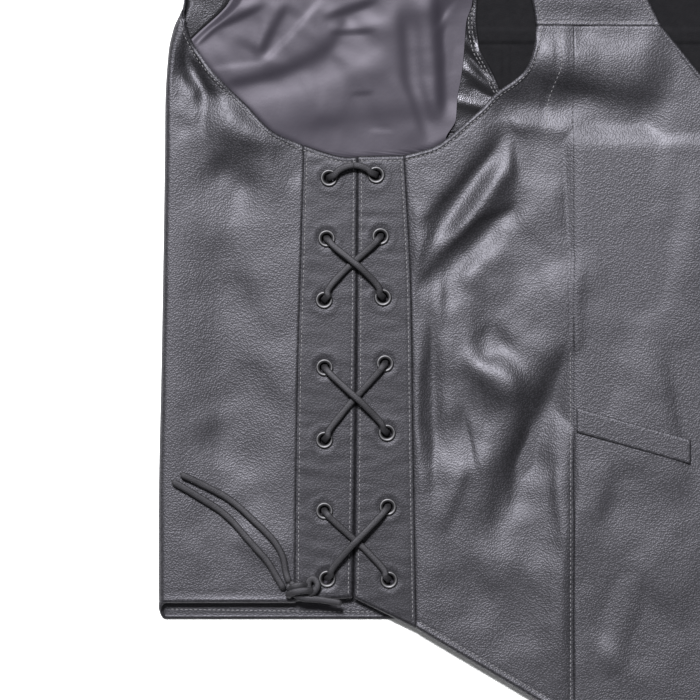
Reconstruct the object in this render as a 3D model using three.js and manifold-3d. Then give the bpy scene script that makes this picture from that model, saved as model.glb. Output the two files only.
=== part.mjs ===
// A leather vest with laced sides, lying flat with its right side up.
// Millimetres: X across the vest as it lies, Y from the hem to the shoulders, Z up from the surface under it.
import * as THREE from "three";
import { mergeVertices } from "three/addons/utils/BufferGeometryUtils.js";
import Module from "manifold-3d";

const wasm = await Module();
wasm.setup();

// Walls and gaps
const LEATHER = 2;
const LINING = 1;
const SEAM_GAP = 0.3;

// The body's two side folds, and the middle heights of its lower and upper layers
const ROLL = 5;
const ROLL_MID = ROLL - LEATHER / 2;
const LOWER = LEATHER / 2;
const UPPER = 2 * ROLL - LEATHER / 2;
const LOWEST_UPPER = 5;
const SHOULDER_UPPER = 4.9;
const LINING_MID = LEATHER + SEAM_GAP + LINING / 2;
const CLEAR_LINING = 0.4;

// The lower layer stands up over the left lacing by this much
const POCKET = 5.4;
const LEFT_SLIT = 87;
const POCKET_HALF = 40;
const POCKET_RAMP = 24;

// Eyelets and lace
const EYELET_OUTER = 6.1;
const EYELET_HOLE = 3.65;
const EYELET_BARREL = 4.3;
const STRIP_HOLE = 4.6;
const FLANGE = 0.9;
const LACE = 3.7;

const mix = (a, b, t) => a + (b - a) * t;
const clamp = (x, low, high) => Math.min(high, Math.max(low, x));
const smooth = (t) => {
  const k = clamp(t, 0, 1);
  return k * k * (3 - 2 * k);
};

// Reads a table of rows { y, x } at a height y, straight between its rows.
function across(table, y) {
  if (y <= table[0].y) return table[0].x;
  for (let i = 1; i < table.length; i++) {
    const a = table[i - 1];
    const b = table[i];
    if (y <= b.y) return mix(a.x, b.x, (y - a.y) / (b.y - a.y));
  }
  return table[table.length - 1].x;
}

// A smooth curve through plan points, read by its length from 0 to 1.
function edge(...points) {
  const curve = new THREE.SplineCurve(points.map(([x, y]) => new THREE.Vector2(x, y)));
  return (t) => curve.getPointAt(t);
}

// The plan outline of the left side fold, which is the vest's left edge as it lies
const leftFold = [
  { y: -222, x: -233.7 },
  { y: -156, x: -233.7 },
  { y: -43, x: -231.7 },
  { y: 86, x: -229.7 },
  { y: 120, x: -229.4 },
  { y: 156, x: -227.2 },
  { y: 171, x: -224 },
  { y: 190, x: -217 },
];

// The right side fold; above the yoke seam it leans in to the left shoulder
const rightFold = [
  { y: -293, x: 232 },
  { y: 140, x: 233 },
  { y: 165, x: 231.5 },
  { y: 190, x: 227 },
  { y: 212, x: 218 },
  { y: 231, x: 206 },
  { y: 249, x: 189 },
  { y: 265, x: 170 },
  { y: 279, x: 148 },
  { y: 290.3, x: 127.7 },
];

// Largest folds of the upper layer: a straight run, its half width and its height, below zero in a trough
const upperFolds = [
  { x1: -6, y1: 97, x2: -46, y2: 37, wide: 9, high: -2.6 },
  { x1: -1, y1: 78, x2: -36, y2: 30, wide: 8, high: 3.2 },
  { x1: 6, y1: 56, x2: -46, y2: 5, wide: 8, high: -2.2 },
  { x1: 36, y1: -54, x2: -8, y2: -158, wide: 13, high: -3.4 },
  { x1: -26, y1: -45, x2: 6, y2: -74, wide: 12, high: 2.6 },
  { x1: 35, y1: -95, x2: 33, y2: -262, wide: 10, high: 2.8 },
  { x1: -52, y1: -12, x2: -50, y2: -132, wide: 7, high: -2.4 },
  { x1: 8, y1: 137, x2: 60, y2: 128, wide: 10, high: -2.8 },
  { x1: -4, y1: 112, x2: 50, y2: 106, wide: 9, high: 2.4 },
  { x1: -216, y1: 150, x2: -197, y2: 124, wide: 8, high: -2.4 },
  { x1: -192, y1: 112, x2: -160, y2: 90, wide: 9, high: 1.8 },
  { x1: -196, y1: 82, x2: -172, y2: 66, wide: 14, high: -1.8 },
  { x1: -190, y1: 30, x2: -188, y2: -165, wide: 22, high: -2.6 },
  { x1: 66, y1: 66, x2: 104, y2: -4, wide: 14, high: -3 },
  { x1: 84, y1: -190, x2: 66, y2: -262, wide: 15, high: 2.6 },
  { x1: 120, y1: -210, x2: 108, y2: -290, wide: 11, high: -2.6 },
  { x1: 178, y1: 96, x2: 202, y2: -20, wide: 15, high: -3 },
  { x1: 168, y1: -90, x2: 204, y2: -216, wide: 15, high: 2.8 },
  { x1: 190, y1: -230, x2: 168, y2: -286, wide: 12, high: -2.6 },
  { x1: 62, y1: 226, x2: 6, y2: 272, wide: 11, high: 2.2 },
  { x1: 176, y1: 220, x2: 128, y2: 276, wide: 11, high: 2.2 },
];

// Broad soft folds of the satin that shows in the right armhole, and of the neck
const liningFolds = [
  { x1: -190, y1: 150, x2: -128, y2: 106, wide: 10, high: 3.4 },
  { x1: -178, y1: 196, x2: -118, y2: 138, wide: 11, high: 4.6 },
  { x1: -140, y1: 226, x2: -84, y2: 164, wide: 12, high: 5.2 },
  { x1: -104, y1: 246, x2: -48, y2: 186, wide: 11, high: 4.8 },
  { x1: -96, y1: 138, x2: -50, y2: 118, wide: 9, high: 3.6 },
  { x1: -66, y1: 262, x2: -22, y2: 226, wide: 10, high: 3.2 },
];

// Distance in plan from (x, y) to the straight run of a fold.
function away(fold, x, y) {
  const dx = fold.x2 - fold.x1;
  const dy = fold.y2 - fold.y1;
  const t = clamp(((x - fold.x1) * dx + (y - fold.y1) * dy) / (dx * dx + dy * dy), 0, 1);
  return Math.hypot(x - fold.x1 - t * dx, y - fold.y1 - t * dy);
}

const swell = (folds, x, y) =>
  folds.reduce((sum, fold) => sum + fold.high * Math.exp(-((away(fold, x, y) / fold.wide) ** 2)), 0);

// The two shoulder seams, from the armhole to the neck
const rightShoulder = { x1: -104.3, y1: 290.3, x2: -39, y2: 347 };
const leftShoulder = { x1: 127.7, y1: 290.3, x2: 61, y2: 347 };
const SHOULDER_REACH = 60;

// The right lacing's slit, and the seams of its two strips
const slit = [
  { y: -207, x: -103.7 },
  { y: -126, x: -102.3 },
  { y: -10, x: -101.2 },
  { y: 86, x: -100.6 },
];
const backSeam = [
  { y: -210, x: -142.3 },
  { y: -76, x: -141 },
  { y: 24, x: -138.3 },
  { y: 93, x: -136.3 },
];
const frontSeam = [
  { y: -228, x: -61.7 },
  { y: -110, x: -63.7 },
  { y: -10, x: -65 },
  { y: 86.3, x: -69.7 },
];

// Height of the lower layer's middle: flat, but for the pocket over the left lacing.
function lowerZ(x, y) {
  const side = 1 - smooth((Math.abs(x - LEFT_SLIT - 2) - POCKET_HALF) / POCKET_RAMP);
  const top = 1 - smooth((y - 92) / POCKET_RAMP);
  return LOWER + POCKET * side * top;
}

// Height of the upper layer's middle.
function upperZ(x, y) {
  const lacing = smooth((Math.max(across(backSeam, y) - x, x - across(frontSeam, y)) - 3) / 12);
  const sides = smooth((x - across(leftFold, y) - ROLL) / 14) * smooth((across(rightFold, y) - ROLL - x) / 14);
  const shoulder = Math.min(away(rightShoulder, x, y), away(leftShoulder, x, y));
  const level = mix(SHOULDER_UPPER, UPPER, smooth(shoulder / SHOULDER_REACH));
  const folds = swell(upperFolds, x, y) * sides * smooth(shoulder / SHOULDER_REACH);
  const floor = Math.max(LOWEST_UPPER, lowerZ(x, y) + LEATHER + LINING + 2 * SEAM_GAP + CLEAR_LINING);
  return Math.max(level + folds * (y < 100 ? lacing : 1), shoulder < SHOULDER_REACH ? SHOULDER_UPPER : floor);
}

// Where a point of the unrolled body lies. q is its place across the upper layer;
// past a fold it runs on round the roll and back along the lower layer.
function wrapped(q, y, side) {
  const fold = side < 0 ? across(leftFold, y) : across(rightFold, y);
  const inward = (q - fold) * -side;
  if (inward >= ROLL) return new THREE.Vector3(q, y, upperZ(q, y));
  if (inward <= -ROLL) {
    const x = 2 * fold - q;
    return new THREE.Vector3(x, y, lowerZ(x, y));
  }
  const turn = (inward / ROLL) * (Math.PI / 2);
  const x = fold - side * (ROLL - ROLL_MID * Math.cos(turn));
  return new THREE.Vector3(x, y, ROLL + ROLL_MID * Math.sin(turn));
}

// A closed geometry from triangles of vertex numbers, with flat repeats left out.
function closed(points, faces) {
  const flat = new Float32Array(points.flatMap((p) => [p.x, p.y, p.z]));
  const shape = new THREE.BufferGeometry();
  shape.setAttribute("position", new THREE.BufferAttribute(flat, 3));
  shape.setIndex(faces.flat());
  const merged = mergeVertices(shape, 1e-3);
  const index = merged.index.array;
  const kept = [];
  for (let i = 0; i < index.length; i += 3) {
    const [a, b, c] = [index[i], index[i + 1], index[i + 2]];
    if (a !== b && b !== c && a !== c) kept.push(a, b, c);
  }
  merged.setIndex(kept);
  return merged;
}

// A cloth wall on a grid of middle points: rows of points, moved out and in by half the thickness.
function wall(rows, thickness) {
  const tall = rows.length;
  const wide = rows[0].length;
  const normals = rows.map((row, i) =>
    row.map((point, j) => {
      let ahead = j;
      let behind = j;
      while (ahead < wide - 1 && row[ahead].distanceTo(point) < 0.5) ahead++;
      while (behind > 0 && row[behind].distanceTo(point) < 0.5) behind--;
      const along = row[ahead].clone().sub(row[behind]);
      const up = rows[Math.min(i + 1, tall - 1)][j].clone().sub(rows[Math.max(i - 1, 0)][j]);
      const normal = along.cross(up);
      return normal.lengthSq() > 1e-9 ? normal.normalize() : new THREE.Vector3(0, 0, 1);
    }),
  );
  // Columns that end together at an edge take the edge's own normal
  for (let i = 0; i < tall; i++)
    for (let j = 1; j < wide; j++)
      if (rows[i][j].distanceTo(rows[i][j - 1]) < 1e-6) normals[i][j] = normals[i][j - 1];
  const side = (sign) =>
    rows.flatMap((row, i) =>
      row.map((point, j) => point.clone().addScaledVector(normals[i][j], (sign * thickness) / 2)),
    );
  const points = [...side(1), ...side(-1)];
  const inner = tall * wide;
  const at = (i, j) => i * wide + j;
  const faces = [];
  const quad = (a, b, c, d) => faces.push([a, b, c], [a, c, d]);
  for (let i = 0; i < tall - 1; i++)
    for (let j = 0; j < wide - 1; j++) {
      quad(at(i, j), at(i, j + 1), at(i + 1, j + 1), at(i + 1, j));
      quad(inner + at(i, j), inner + at(i + 1, j), inner + at(i + 1, j + 1), inner + at(i, j + 1));
    }
  for (let j = 0; j < wide - 1; j++) {
    quad(at(0, j), inner + at(0, j), inner + at(0, j + 1), at(0, j + 1));
    const k = tall - 1;
    quad(at(k, j), at(k, j + 1), inner + at(k, j + 1), inner + at(k, j));
  }
  for (let i = 0; i < tall - 1; i++) {
    quad(at(i, 0), at(i + 1, 0), inner + at(i + 1, 0), inner + at(i, 0));
    const k = wide - 1;
    quad(at(i, k), inner + at(i, k), inner + at(i + 1, k), at(i + 1, k));
  }
  return closed(points, faces);
}

// Even steps from 0 to 1, with the seam gap taken off each end of a piece this long.
function steps(count, length, startGap = SEAM_GAP / 2, endGap = SEAM_GAP / 2) {
  return Array.from({ length: count + 1 }, (_, i) => mix(startGap / length, 1 - endGap / length, i / count));
}

// A four-sided piece between its plan edges, each read from 0 to 1.
function patch({ hem, top, left, right }, us, vs, place) {
  const corners = [hem(0), hem(1), top(0), top(1)];
  return vs.map((v) =>
    us.map((u) => {
      const blend = (key) =>
        mix(hem(u)[key], top(u)[key], v) +
        mix(left(v)[key], right(v)[key], u) -
        mix(mix(corners[0][key], corners[1][key], u), mix(corners[2][key], corners[3][key], u), v);
      return place(blend("x"), blend("y"));
    }),
  );
}

const onUpper = (x, y) => new THREE.Vector3(x, y, upperZ(x, y));
const onLower = (x, y) => new THREE.Vector3(x, y, lowerZ(x, y));

// Materials
const leather = new THREE.MeshStandardMaterial({ color: 0x2b2a2e, roughness: 0.5, metalness: 0 });
const strapLeather = new THREE.MeshStandardMaterial({ color: 0x232226, roughness: 0.55, metalness: 0 });
const satin = new THREE.MeshStandardMaterial({ color: 0x4f4a58, roughness: 0.35, metalness: 0 });
const gunmetal = new THREE.MeshStandardMaterial({ color: 0x2a2a2d, roughness: 0.3, metalness: 0.9 });
const lacing = new THREE.MeshStandardMaterial({ color: 0x1f1e21, roughness: 0.7, metalness: 0 });

const vest = new THREE.Group();

function add(name, geometry, material) {
  geometry.computeVertexNormals();
  const mesh = new THREE.Mesh(geometry, material);
  mesh.name = name;
  vest.add(mesh);
  return mesh;
}

// A closed geometry as a solid that can be joined or cut, and back again.
function solid(geometry) {
  const bare = geometry.clone();
  bare.deleteAttribute("normal");
  bare.deleteAttribute("uv");
  const merged = mergeVertices(bare, 1e-4);
  return new wasm.Manifold(
    new wasm.Mesh({
      numProp: 3,
      vertProperties: new Float32Array(merged.attributes.position.array),
      triVerts: new Uint32Array(merged.index.array),
    }),
  );
}
function shapeOf(body) {
  const mesh = body.getMesh();
  const shape = new THREE.BufferGeometry();
  shape.setAttribute("position", new THREE.BufferAttribute(mesh.vertProperties, 3));
  shape.setIndex(new THREE.BufferAttribute(mesh.triVerts, 1));
  return shape;
}

// Back: one piece of leather from the left strip's seam, under the body, round the left fold,
// to the right strip's seam. The two tables give its unrolled edges; x is measured as in wrapped.
const backLeft = [
  { y: -222, x: 48.3 },
  { y: 93, x: 51.7 },
  { y: 102.3, x: 30.3 },
  { y: 119, x: 13.7 },
  { y: 129, x: -3.7 },
  { y: 138.3, x: -8.3 },
  { y: 146.3, x: -12.3 },
  { y: 159.7, x: -19 },
  { y: 177, x: -21 },
  { y: 190, x: -20.5 },
  { y: 207, x: -16 },
  { y: 231.7, x: -2 },
  { y: 255, x: 24 },
  { y: 277, x: 70 },
  { y: 290.3, x: 127.7 },
];
const backRight = [
  { y: -222, x: -142.3 },
  { y: -76, x: -141 },
  { y: 24, x: -138.3 },
  { y: 93, x: -136.3 },
  { y: 102.3, x: -157.7 },
  { y: 119, x: -174 },
  { y: 135, x: -190.3 },
  { y: 150.3, x: -203.7 },
  { y: 165, x: -212.3 },
  { y: 178, x: -216.3 },
  { y: 190, x: -217.2 },
  { y: 200, x: -219.5 },
  { y: 210, x: -222.2 },
  { y: 222, x: -228 },
  { y: 233.7, x: -235 },
  { y: 257, x: -258.3 },
  { y: 277, x: -290.3 },
  { y: 290.3, x: -329.7 },
];
const backTop = [
  { y: -104.3, x: 0 },
  { y: -39, x: 56.7 },
  { y: -14, x: 49 },
  { y: 11, x: 46.5 },
  { y: 36, x: 49 },
  { y: 61, x: 56.7 },
  { y: 127.7, x: 0 },
];
const BACK_LEVELS = [
  -222, -175, -125, -75, -25, 25, 70, 93, 97.5, 102.3, 110, 119, 129, 138.3, 150.3, 165, 178, 190, 200, 210,
  222, 233.7, 245, 257, 267, 277, 284, 290.3,
];
const BACK_LOWER = [127.7, 94, 61, 28, -5, -39, -72, -104.3, -150, -190];
const HEM_SLANT = 11;

// The back's upper layer ends higher at the hem; its lower one rises to the neck and shoulders.
function backLift(x, y, onTop) {
  const hem = onTop * HEM_SLANT * (1 - smooth((y + 222) / 150));
  return hem + across(backTop, x) * smooth((y - 215) / 75.3);
}

function backRows(gapLeft, gapRight) {
  return BACK_LEVELS.map((y) => {
    const fold = across(leftFold, y);
    const low = 2 * fold - across(backLeft, y) + gapLeft;
    const high = across(backRight, y) - gapRight;
    const under = BACK_LOWER.map((x) => 2 * fold - x);
    const roll = [-5, -3.4, -1.7, 0, 1.7, 3.4, 5].map((d) => fold + d);
    const over = [12, 22, 36, 54, 74, 92, 110].map((d) => fold + d);
    return [...under, ...roll, ...over].map((nominal) => {
      const q = clamp(nominal, low, high);
      const x = q < fold ? 2 * fold - q : q;
      const lift = backLift(x, y, smooth((q - fold + ROLL) / (2 * ROLL)));
      const point = wrapped(q, y, -1);
      point.y += lift;
      return point;
    });
  });
}
const backGrid = backRows(SEAM_GAP / 2, SEAM_GAP / 2).map((row) => [...row]);
add("back_panel", wall(backGrid, LEATHER), leather);

// Satin lining inside the back, with the armhole facings beside it
const liningLeft = [
  { y: -216, x: -225 },
  { y: 156, x: -220 },
  { y: 166, x: -210.5 },
  { y: 190.3, x: -186 },
  { y: 210, x: -178 },
  { y: 234, x: -164 },
  { y: 257, x: -141 },
  { y: 277, x: -108 },
  { y: 288, x: -76 },
];
const FACING = 23;
const inWindow = (x, y) => {
  const bottom = smooth((y - 96) / 16);
  const leftSide = smooth((x - across(liningLeft, y) - 2) / 20);
  const under = 190 + 0.62 * (16 - x);
  const rightSide = x < -40 ? 1 : smooth((13 - x) / 24);
  const low = smooth((y - (86 + Math.max(0, Math.abs(x + 85) - 18) * 0.72) - 14) / 14);
  const neck = smooth((under - y + 24) / 24);
  return bottom * leftSide * rightSide * low * neck;
};
const onLining = (x, y) =>
  new THREE.Vector3(
    x,
    y,
    lowerZ(x, y) - LOWER + LINING_MID + swell(liningFolds, x, y) * inWindow(x, y),
  );
const LINING_LEVELS = [
  -216, -100, 20, 84, 94, 103, 114, 126, 138.3, 152, 166, 178, 190, 204, 220, 236, 252, 266, 278, 288,
];
const liningEdge = (y) => across(backLeft, y) - (y < 95 ? 2 : mix(2, FACING, smooth((y - 94) / 20)));
const risen = (x, y) => y + across(backTop, x) * 0.95 * smooth((y - 215) / 75.3);
const liningRows = LINING_LEVELS.map((y) => {
  const low = across(liningLeft, y);
  const high = liningEdge(y);
  return steps(11, 1, 0, 0).map((u) => {
    const x = mix(low, high, u);
    return onLining(x, risen(x, y));
  });
});
add("back_lining", wall(liningRows, LINING), satin);

// Leather facings along the two armhole edges of the back, on its inside
const FACING_GAP = 0.9;
function facingRows(levels, outside, inside) {
  return levels.map((y) =>
    steps(2, 1, 0, 0).map((u) => {
      const x = mix(outside(y), inside(y), u);
      return new THREE.Vector3(x, risen(x, y), lowerZ(x, y) - LOWER + LINING_MID);
    }),
  );
}
const rightOutside = (y) => {
  const fold = across(leftFold, y);
  return y < 222 ? fold + ROLL + 1.6 : 2 * fold - across(backRight, y) + 0.8;
};
const rightFacing = facingRows(
  LINING_LEVELS.filter((y) => y > 165),
  rightOutside,
  (y) => across(liningLeft, y) - FACING_GAP,
);
add("right_armhole_facing", wall(rightFacing, LINING), strapLeather);
const leftFacing = facingRows(
  LINING_LEVELS.filter((y) => y > 102 && y < 270),
  (y) => liningEdge(y) + FACING_GAP,
  (y) => across(backLeft, y) - 0.6,
);
add("left_armhole_facing", wall(leftFacing, LINING), strapLeather);

// Edges that the upper layer's pieces share
const armholeFront = edge(
  [-69.7, 86.3],
  [-50.3, 91.7],
  [-39, 99],
  [-27.7, 109],
  [-17, 118.3],
  [-8.3, 127.7],
  [3.7, 136.3],
  [11, 143.7],
  [15, 151],
  [17.7, 160.3],
  [19, 173.5],
);
const armholeShoulder = edge(
  [19, 173.5],
  [16.3, 190.3],
  [7.7, 220.3],
  [-12.3, 249],
  [-49, 275],
  [-104.3, 290.3],
);
const neckRight = edge([101.7, 173], [93, 190.3], [75.7, 227], [47.7, 263.7], [7.7, 309], [-39, 347]);
const neckRightLow = edge([139, 127], [121, 149], [101.7, 173]);
const neckLeftLow = edge([139.8, 127], [149, 149], [153, 173]);
const neckLeft = edge([153, 173], [149, 200], [131, 235], [104, 268], [78, 306], [61, 347]);
const princess = edge([43.7, -290.4], [43.7, 173]);
const centreFront = edge([139, -347], [139, 127]);
const leftOutline = (t) => {
  const y = mix(173, 290.3, t);
  return { x: across(rightFold, y), y };
};

// A straight plan line between two points.
const line = (x1, y1, x2, y2) => (t) => ({ x: mix(x1, x2, t), y: mix(y1, y2, t) });
// A seam table as an edge from one height to another.
const seamLine = (table, low, high) => (t) => {
  const y = mix(low, high, t);
  return { x: across(table, y), y };
};

// Lacing strips of the upper layer. Their eyelets are placed by the table, from the top row down.
const eyeletRows = [
  { backX: -119.7, backY: 71.7, frontX: -88.3, frontY: 73.7 },
  { backX: -121.3, backY: 31.3, frontX: -85.3, frontY: 32.7 },
  { backX: -123, backY: -9.7, frontX: -83.7, frontY: -8 },
  { backX: -122.7, backY: -54.7, frontX: -82.3, frontY: -52 },
  { backX: -122.8, backY: -103, frontX: -81, frontY: -98.3 },
  { backX: -122.8, backY: -150.3, frontX: -80.5, frontY: -147.7 },
  { backX: -121, backY: -195.7, frontX: -79.7, frontY: -196.3 },
];
const SLIT_OPEN = 1.6;

// A strip's wall with a hole for each eyelet, seen from above at the given places.
function holed(geometry, holes, z) {
  let body = solid(geometry);
  for (const hole of holes) {
    const drill = new THREE.CylinderGeometry(STRIP_HOLE, STRIP_HOLE, 8, 10);
    drill.rotateX(Math.PI / 2);
    drill.translate(hole.x, hole.y, z);
    body = body.subtract(solid(drill));
  }
  return shapeOf(body);
}

const rightBackHoles = eyeletRows.map((row) => ({ x: row.backX, y: row.backY }));
const rightFrontHoles = eyeletRows.map((row) => ({ x: row.frontX, y: row.frontY }));
const slitBack = (t) => {
  const y = mix(-207.8, 85.3, t);
  return { x: across(slit, y) - mix(SLIT_OPEN, SEAM_GAP, t) / 2, y };
};
const slitFront = (t) => {
  const y = mix(-207.8, 85.7, t);
  return { x: across(slit, y) + mix(SLIT_OPEN, SEAM_GAP, t) / 2, y };
};
const backStripRows = patch(
  {
    hem: line(-142.3, -210, -104.5, -207.8),
    top: edge([-136.3, 93], [-123, 88.4], [-110.3, 85.2], [-100.8, 85.3]),
    left: seamLine(backSeam, -210, 93),
    right: slitBack,
  },
  steps(4, 38, SEAM_GAP / 2, 0),
  steps(6, 300, 0, 0),
  onUpper,
);
add("right_back_strip", holed(wall(backStripRows, LEATHER), rightBackHoles, UPPER), strapLeather);

const frontStripRows = patch(
  {
    hem: line(-102.9, -207.8, -61.7, -227.9),
    top: line(-100.5, 85.7, -69.7, 86.3),
    left: slitFront,
    right: seamLine(frontSeam, -227.9, 86.3),
  },
  steps(4, 38, 0, SEAM_GAP / 2),
  steps(6, 300, 0, 0),
  onUpper,
);
add("right_front_strip", holed(wall(frontStripRows, LEATHER), rightFrontHoles, UPPER), strapLeather);

// Right front: side piece, centre piece and yoke
const sideTopLength = 0.86;
const sideTop = (t) => {
  if (t < sideTopLength) return armholeFront(t / sideTopLength);
  return { x: mix(19, 43.7, (t - sideTopLength) / (1 - sideTopLength)), y: 173.25 };
};
const sideRows = patch(
  {
    hem: line(-61.7, -227.9, 43.7, -290.4),
    top: sideTop,
    left: seamLine(frontSeam, -227.9, 86.3),
    right: princess,
  },
  [...steps(10, 105, SEAM_GAP / 2, 0).map((u) => u * sideTopLength), 0.93, 1 - SEAM_GAP / 210],
  steps(16, 400, 0, SEAM_GAP / 2),
  onUpper,
);
add("right_side_front", wall(sideRows, LEATHER), leather);

const centreRight = (t) => {
  const straight = 0.9;
  return t < straight ? centreFront(t / straight) : neckRightLow((t - straight) / (1 - straight));
};
const centreRows = patch(
  {
    hem: line(43.7, -290.4, 139, -347),
    top: line(43.7, 173.25, 101.7, 173),
    left: princess,
    right: centreRight,
  },
  steps(6, 95, SEAM_GAP / 2, 0),
  [...steps(13, 400, 0, 0).map((v) => v * 0.9), 0.95, 1 - SEAM_GAP / 900],
  onUpper,
);
add("right_centre_front", wall(centreRows, LEATHER), leather);

const yokeRows = patch(
  {
    hem: line(19, 173.5, 101.7, 173),
    top: line(-104.3, 290.3, -39, 347),
    left: armholeShoulder,
    right: neckRight,
  },
  steps(5, 80, 0, 0),
  steps(10, 180, SEAM_GAP / 2, 0),
  onUpper,
);
add("right_yoke", wall(yokeRows, LEATHER), leather);

// Left front: its centre piece wraps the right fold, its side piece lies in the lower layer
const leftCentre = (t) => {
  const straight = 0.9;
  if (t < straight) {
    const point = centreFront(t / straight);
    return { x: point.x + 0.8, y: point.y };
  }
  return neckLeftLow((t - straight) / (1 - straight));
};
const foldCentre = (t) => {
  const straight = 0.9;
  const y = t < straight ? mix(-293, 127, t / straight) : mix(127, 173, (t - straight) / (1 - straight));
  return { x: across(rightFold, y), y };
};

// A piece of the left front from its free edge to the right fold and round the roll.
function foldedRows(free, fold, us, vs) {
  return vs.map((v) => {
    const start = free(v);
    const end = fold(v);
    const flat = us.map((u) => wrapped(mix(start.x, end.x - ROLL, u), mix(start.y, end.y, u), 1));
    const roll = [-3, -1, 1, 3, 5].map((d) => wrapped(end.x + d, end.y, 1));
    return [...flat, ...roll];
  });
}
const leftCentreRows = foldedRows(
  leftCentre,
  foldCentre,
  steps(6, 95, 0, 0),
  [...steps(13, 400, 0, 0).map((v) => v * 0.9), 0.95, 1 - SEAM_GAP / 900],
);
add("left_centre_front", wall(leftCentreRows, LEATHER), leather);
const leftYokeRows = foldedRows(neckLeft, leftOutline, steps(4, 70, 0, 0), steps(11, 180, SEAM_GAP / 2, 4));
add("left_yoke", wall(leftYokeRows, LEATHER), leather);

// Left side front, inside up, from the left strip's seam or the armhole to the right fold
const leftSideInner = [
  { y: -300, x: 129 },
  { y: -110, x: 125.7 },
  { y: -10, x: 123 },
  { y: 86.4, x: 118.3 },
  { y: 94.2, x: 52.4 },
  { y: 102.3, x: 31.2 },
  { y: 119, x: 14.6 },
  { y: 129, x: -2.8 },
  { y: 138.3, x: -7.4 },
  { y: 146.3, x: -11.4 },
  { y: 159.7, x: -18 },
  { y: 177, x: -20 },
  { y: 186, x: -18 },
  { y: 198, x: 4 },
  { y: 215, x: 34 },
  { y: 240, x: 74 },
  { y: 262, x: 104 },
  { y: 280, x: 122 },
];
const SIDE_LEVELS = [
  -233.3, -170, -110, -50, 10, 60, 86.4, 94.2, 102.3, 110, 119, 129, 138.3, 150, 162, 177, 190, 203, 218, 233,
  247, 260, 270, 280,
];
const leftSideRows = SIDE_LEVELS.map((y) => {
  const low = across(leftSideInner, y) + SEAM_GAP / 2;
  const high = across(rightFold, y) - ROLL - (y < 180 ? 1 : 4);
  return [-20, 5, 30, 52, 74, 90, 106, 122, 138, 154, 180, 210, 240].map((x) => {
    const at = clamp(x, low, high);
    const hemDrop = -60 * ((at - 129) / 103) * (1 - smooth((y + 233.3) / 120));
    return onLower(at, y + Math.min(0, hemDrop));
  });
});
add("left_side_front", wall(leftSideRows, LEATHER), leather);

// The dark facing on the inside of the left front, seen through the armhole and the neck
const frontFacingRows = SIDE_LEVELS.filter((y) => y > 115 && y < 262).map((y) => {
  const low = across(leftSideInner, y) + 2;
  const high = across(rightFold, y) - ROLL - 7;
  return steps(4, 1, 0, 0).map((u) => {
    const x = mix(low, high, u);
    return new THREE.Vector3(x, y, lowerZ(x, y) - LOWER + LINING_MID);
  });
});
add("left_front_facing", wall(frontFacingRows, LINING), strapLeather);

// Lacing strips of the lower layer, outer side down, mirrored from the right side's sizes
const leftHoles = (sign) =>
  eyeletRows.map((row) => {
    const x = sign < 0 ? row.backX : row.frontX;
    const y = sign < 0 ? row.backY : row.frontY;
    return { x: LEFT_SLIT + (x - across(slit, y)), y };
  });
const leftBackRows = patch(
  {
    hem: line(48.6, -222, LEFT_SLIT - 0.3, -214),
    top: line(52, 93, LEFT_SLIT - 0.3, 86),
    left: line(48.6, -222, 52, 93),
    right: line(LEFT_SLIT - 0.3, -214, LEFT_SLIT - 0.3, 86),
  },
  steps(4, 38, 0, 0),
  steps(5, 300, 0, 0),
  onLower,
);
const leftFrontRows = patch(
  {
    hem: line(LEFT_SLIT + 0.3, -211, 128.8, -233.3),
    top: line(LEFT_SLIT + 0.3, 86, 118, 86),
    left: line(LEFT_SLIT + 0.3, -211, LEFT_SLIT + 0.3, 86),
    right: (t) => ({ x: across(leftSideInner, mix(-233.3, 86, t)) - 0.2, y: mix(-233.3, 86, t) }),
  },
  steps(4, 38, 0, 0),
  steps(5, 300, 0, 0),
  onLower,
);
const POCKET_MID = LOWER + POCKET;
add("left_back_strip", holed(wall(leftBackRows, LEATHER), leftHoles(-1), POCKET_MID), strapLeather);
add("left_front_strip", holed(wall(leftFrontRows, LEATHER), leftHoles(1), POCKET_MID), strapLeather);

// An eyelet: a flange on the outer face and a barrel through the leather. outer is 1 face up, -1 face down.
function eyelet(name, x, y, z, outer, sides) {
  const face = LEATHER / 2 + SEAM_GAP;
  const profile = [
    new THREE.Vector2(EYELET_HOLE, -LEATHER / 2),
    new THREE.Vector2(EYELET_BARREL, -LEATHER / 2),
    new THREE.Vector2(EYELET_BARREL, face),
    new THREE.Vector2(EYELET_OUTER, face),
    new THREE.Vector2((EYELET_OUTER + EYELET_HOLE) / 2, face + FLANGE),
    new THREE.Vector2(EYELET_HOLE, face),
    new THREE.Vector2(EYELET_HOLE, -LEATHER / 2),
  ];
  const ring = new THREE.LatheGeometry(profile, sides);
  ring.rotateX((outer * Math.PI) / 2);
  ring.translate(x, y, z);
  add(name, shapeOf(solid(ring)), gunmetal);
}
for (let i = 0; i < eyeletRows.length; i++) {
  eyelet(`right_back_eyelet_${i + 1}`, rightBackHoles[i].x, rightBackHoles[i].y, UPPER, 1, 12);
  eyelet(`right_front_eyelet_${i + 1}`, rightFrontHoles[i].x, rightFrontHoles[i].y, UPPER, 1, 12);
  eyelet(`left_back_eyelet_${i + 1}`, leftHoles(-1)[i].x, leftHoles(-1)[i].y, POCKET_MID, -1, 8);
  eyelet(`left_front_eyelet_${i + 1}`, leftHoles(1)[i].x, leftHoles(1)[i].y, POCKET_MID, -1, 8);
}

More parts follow.
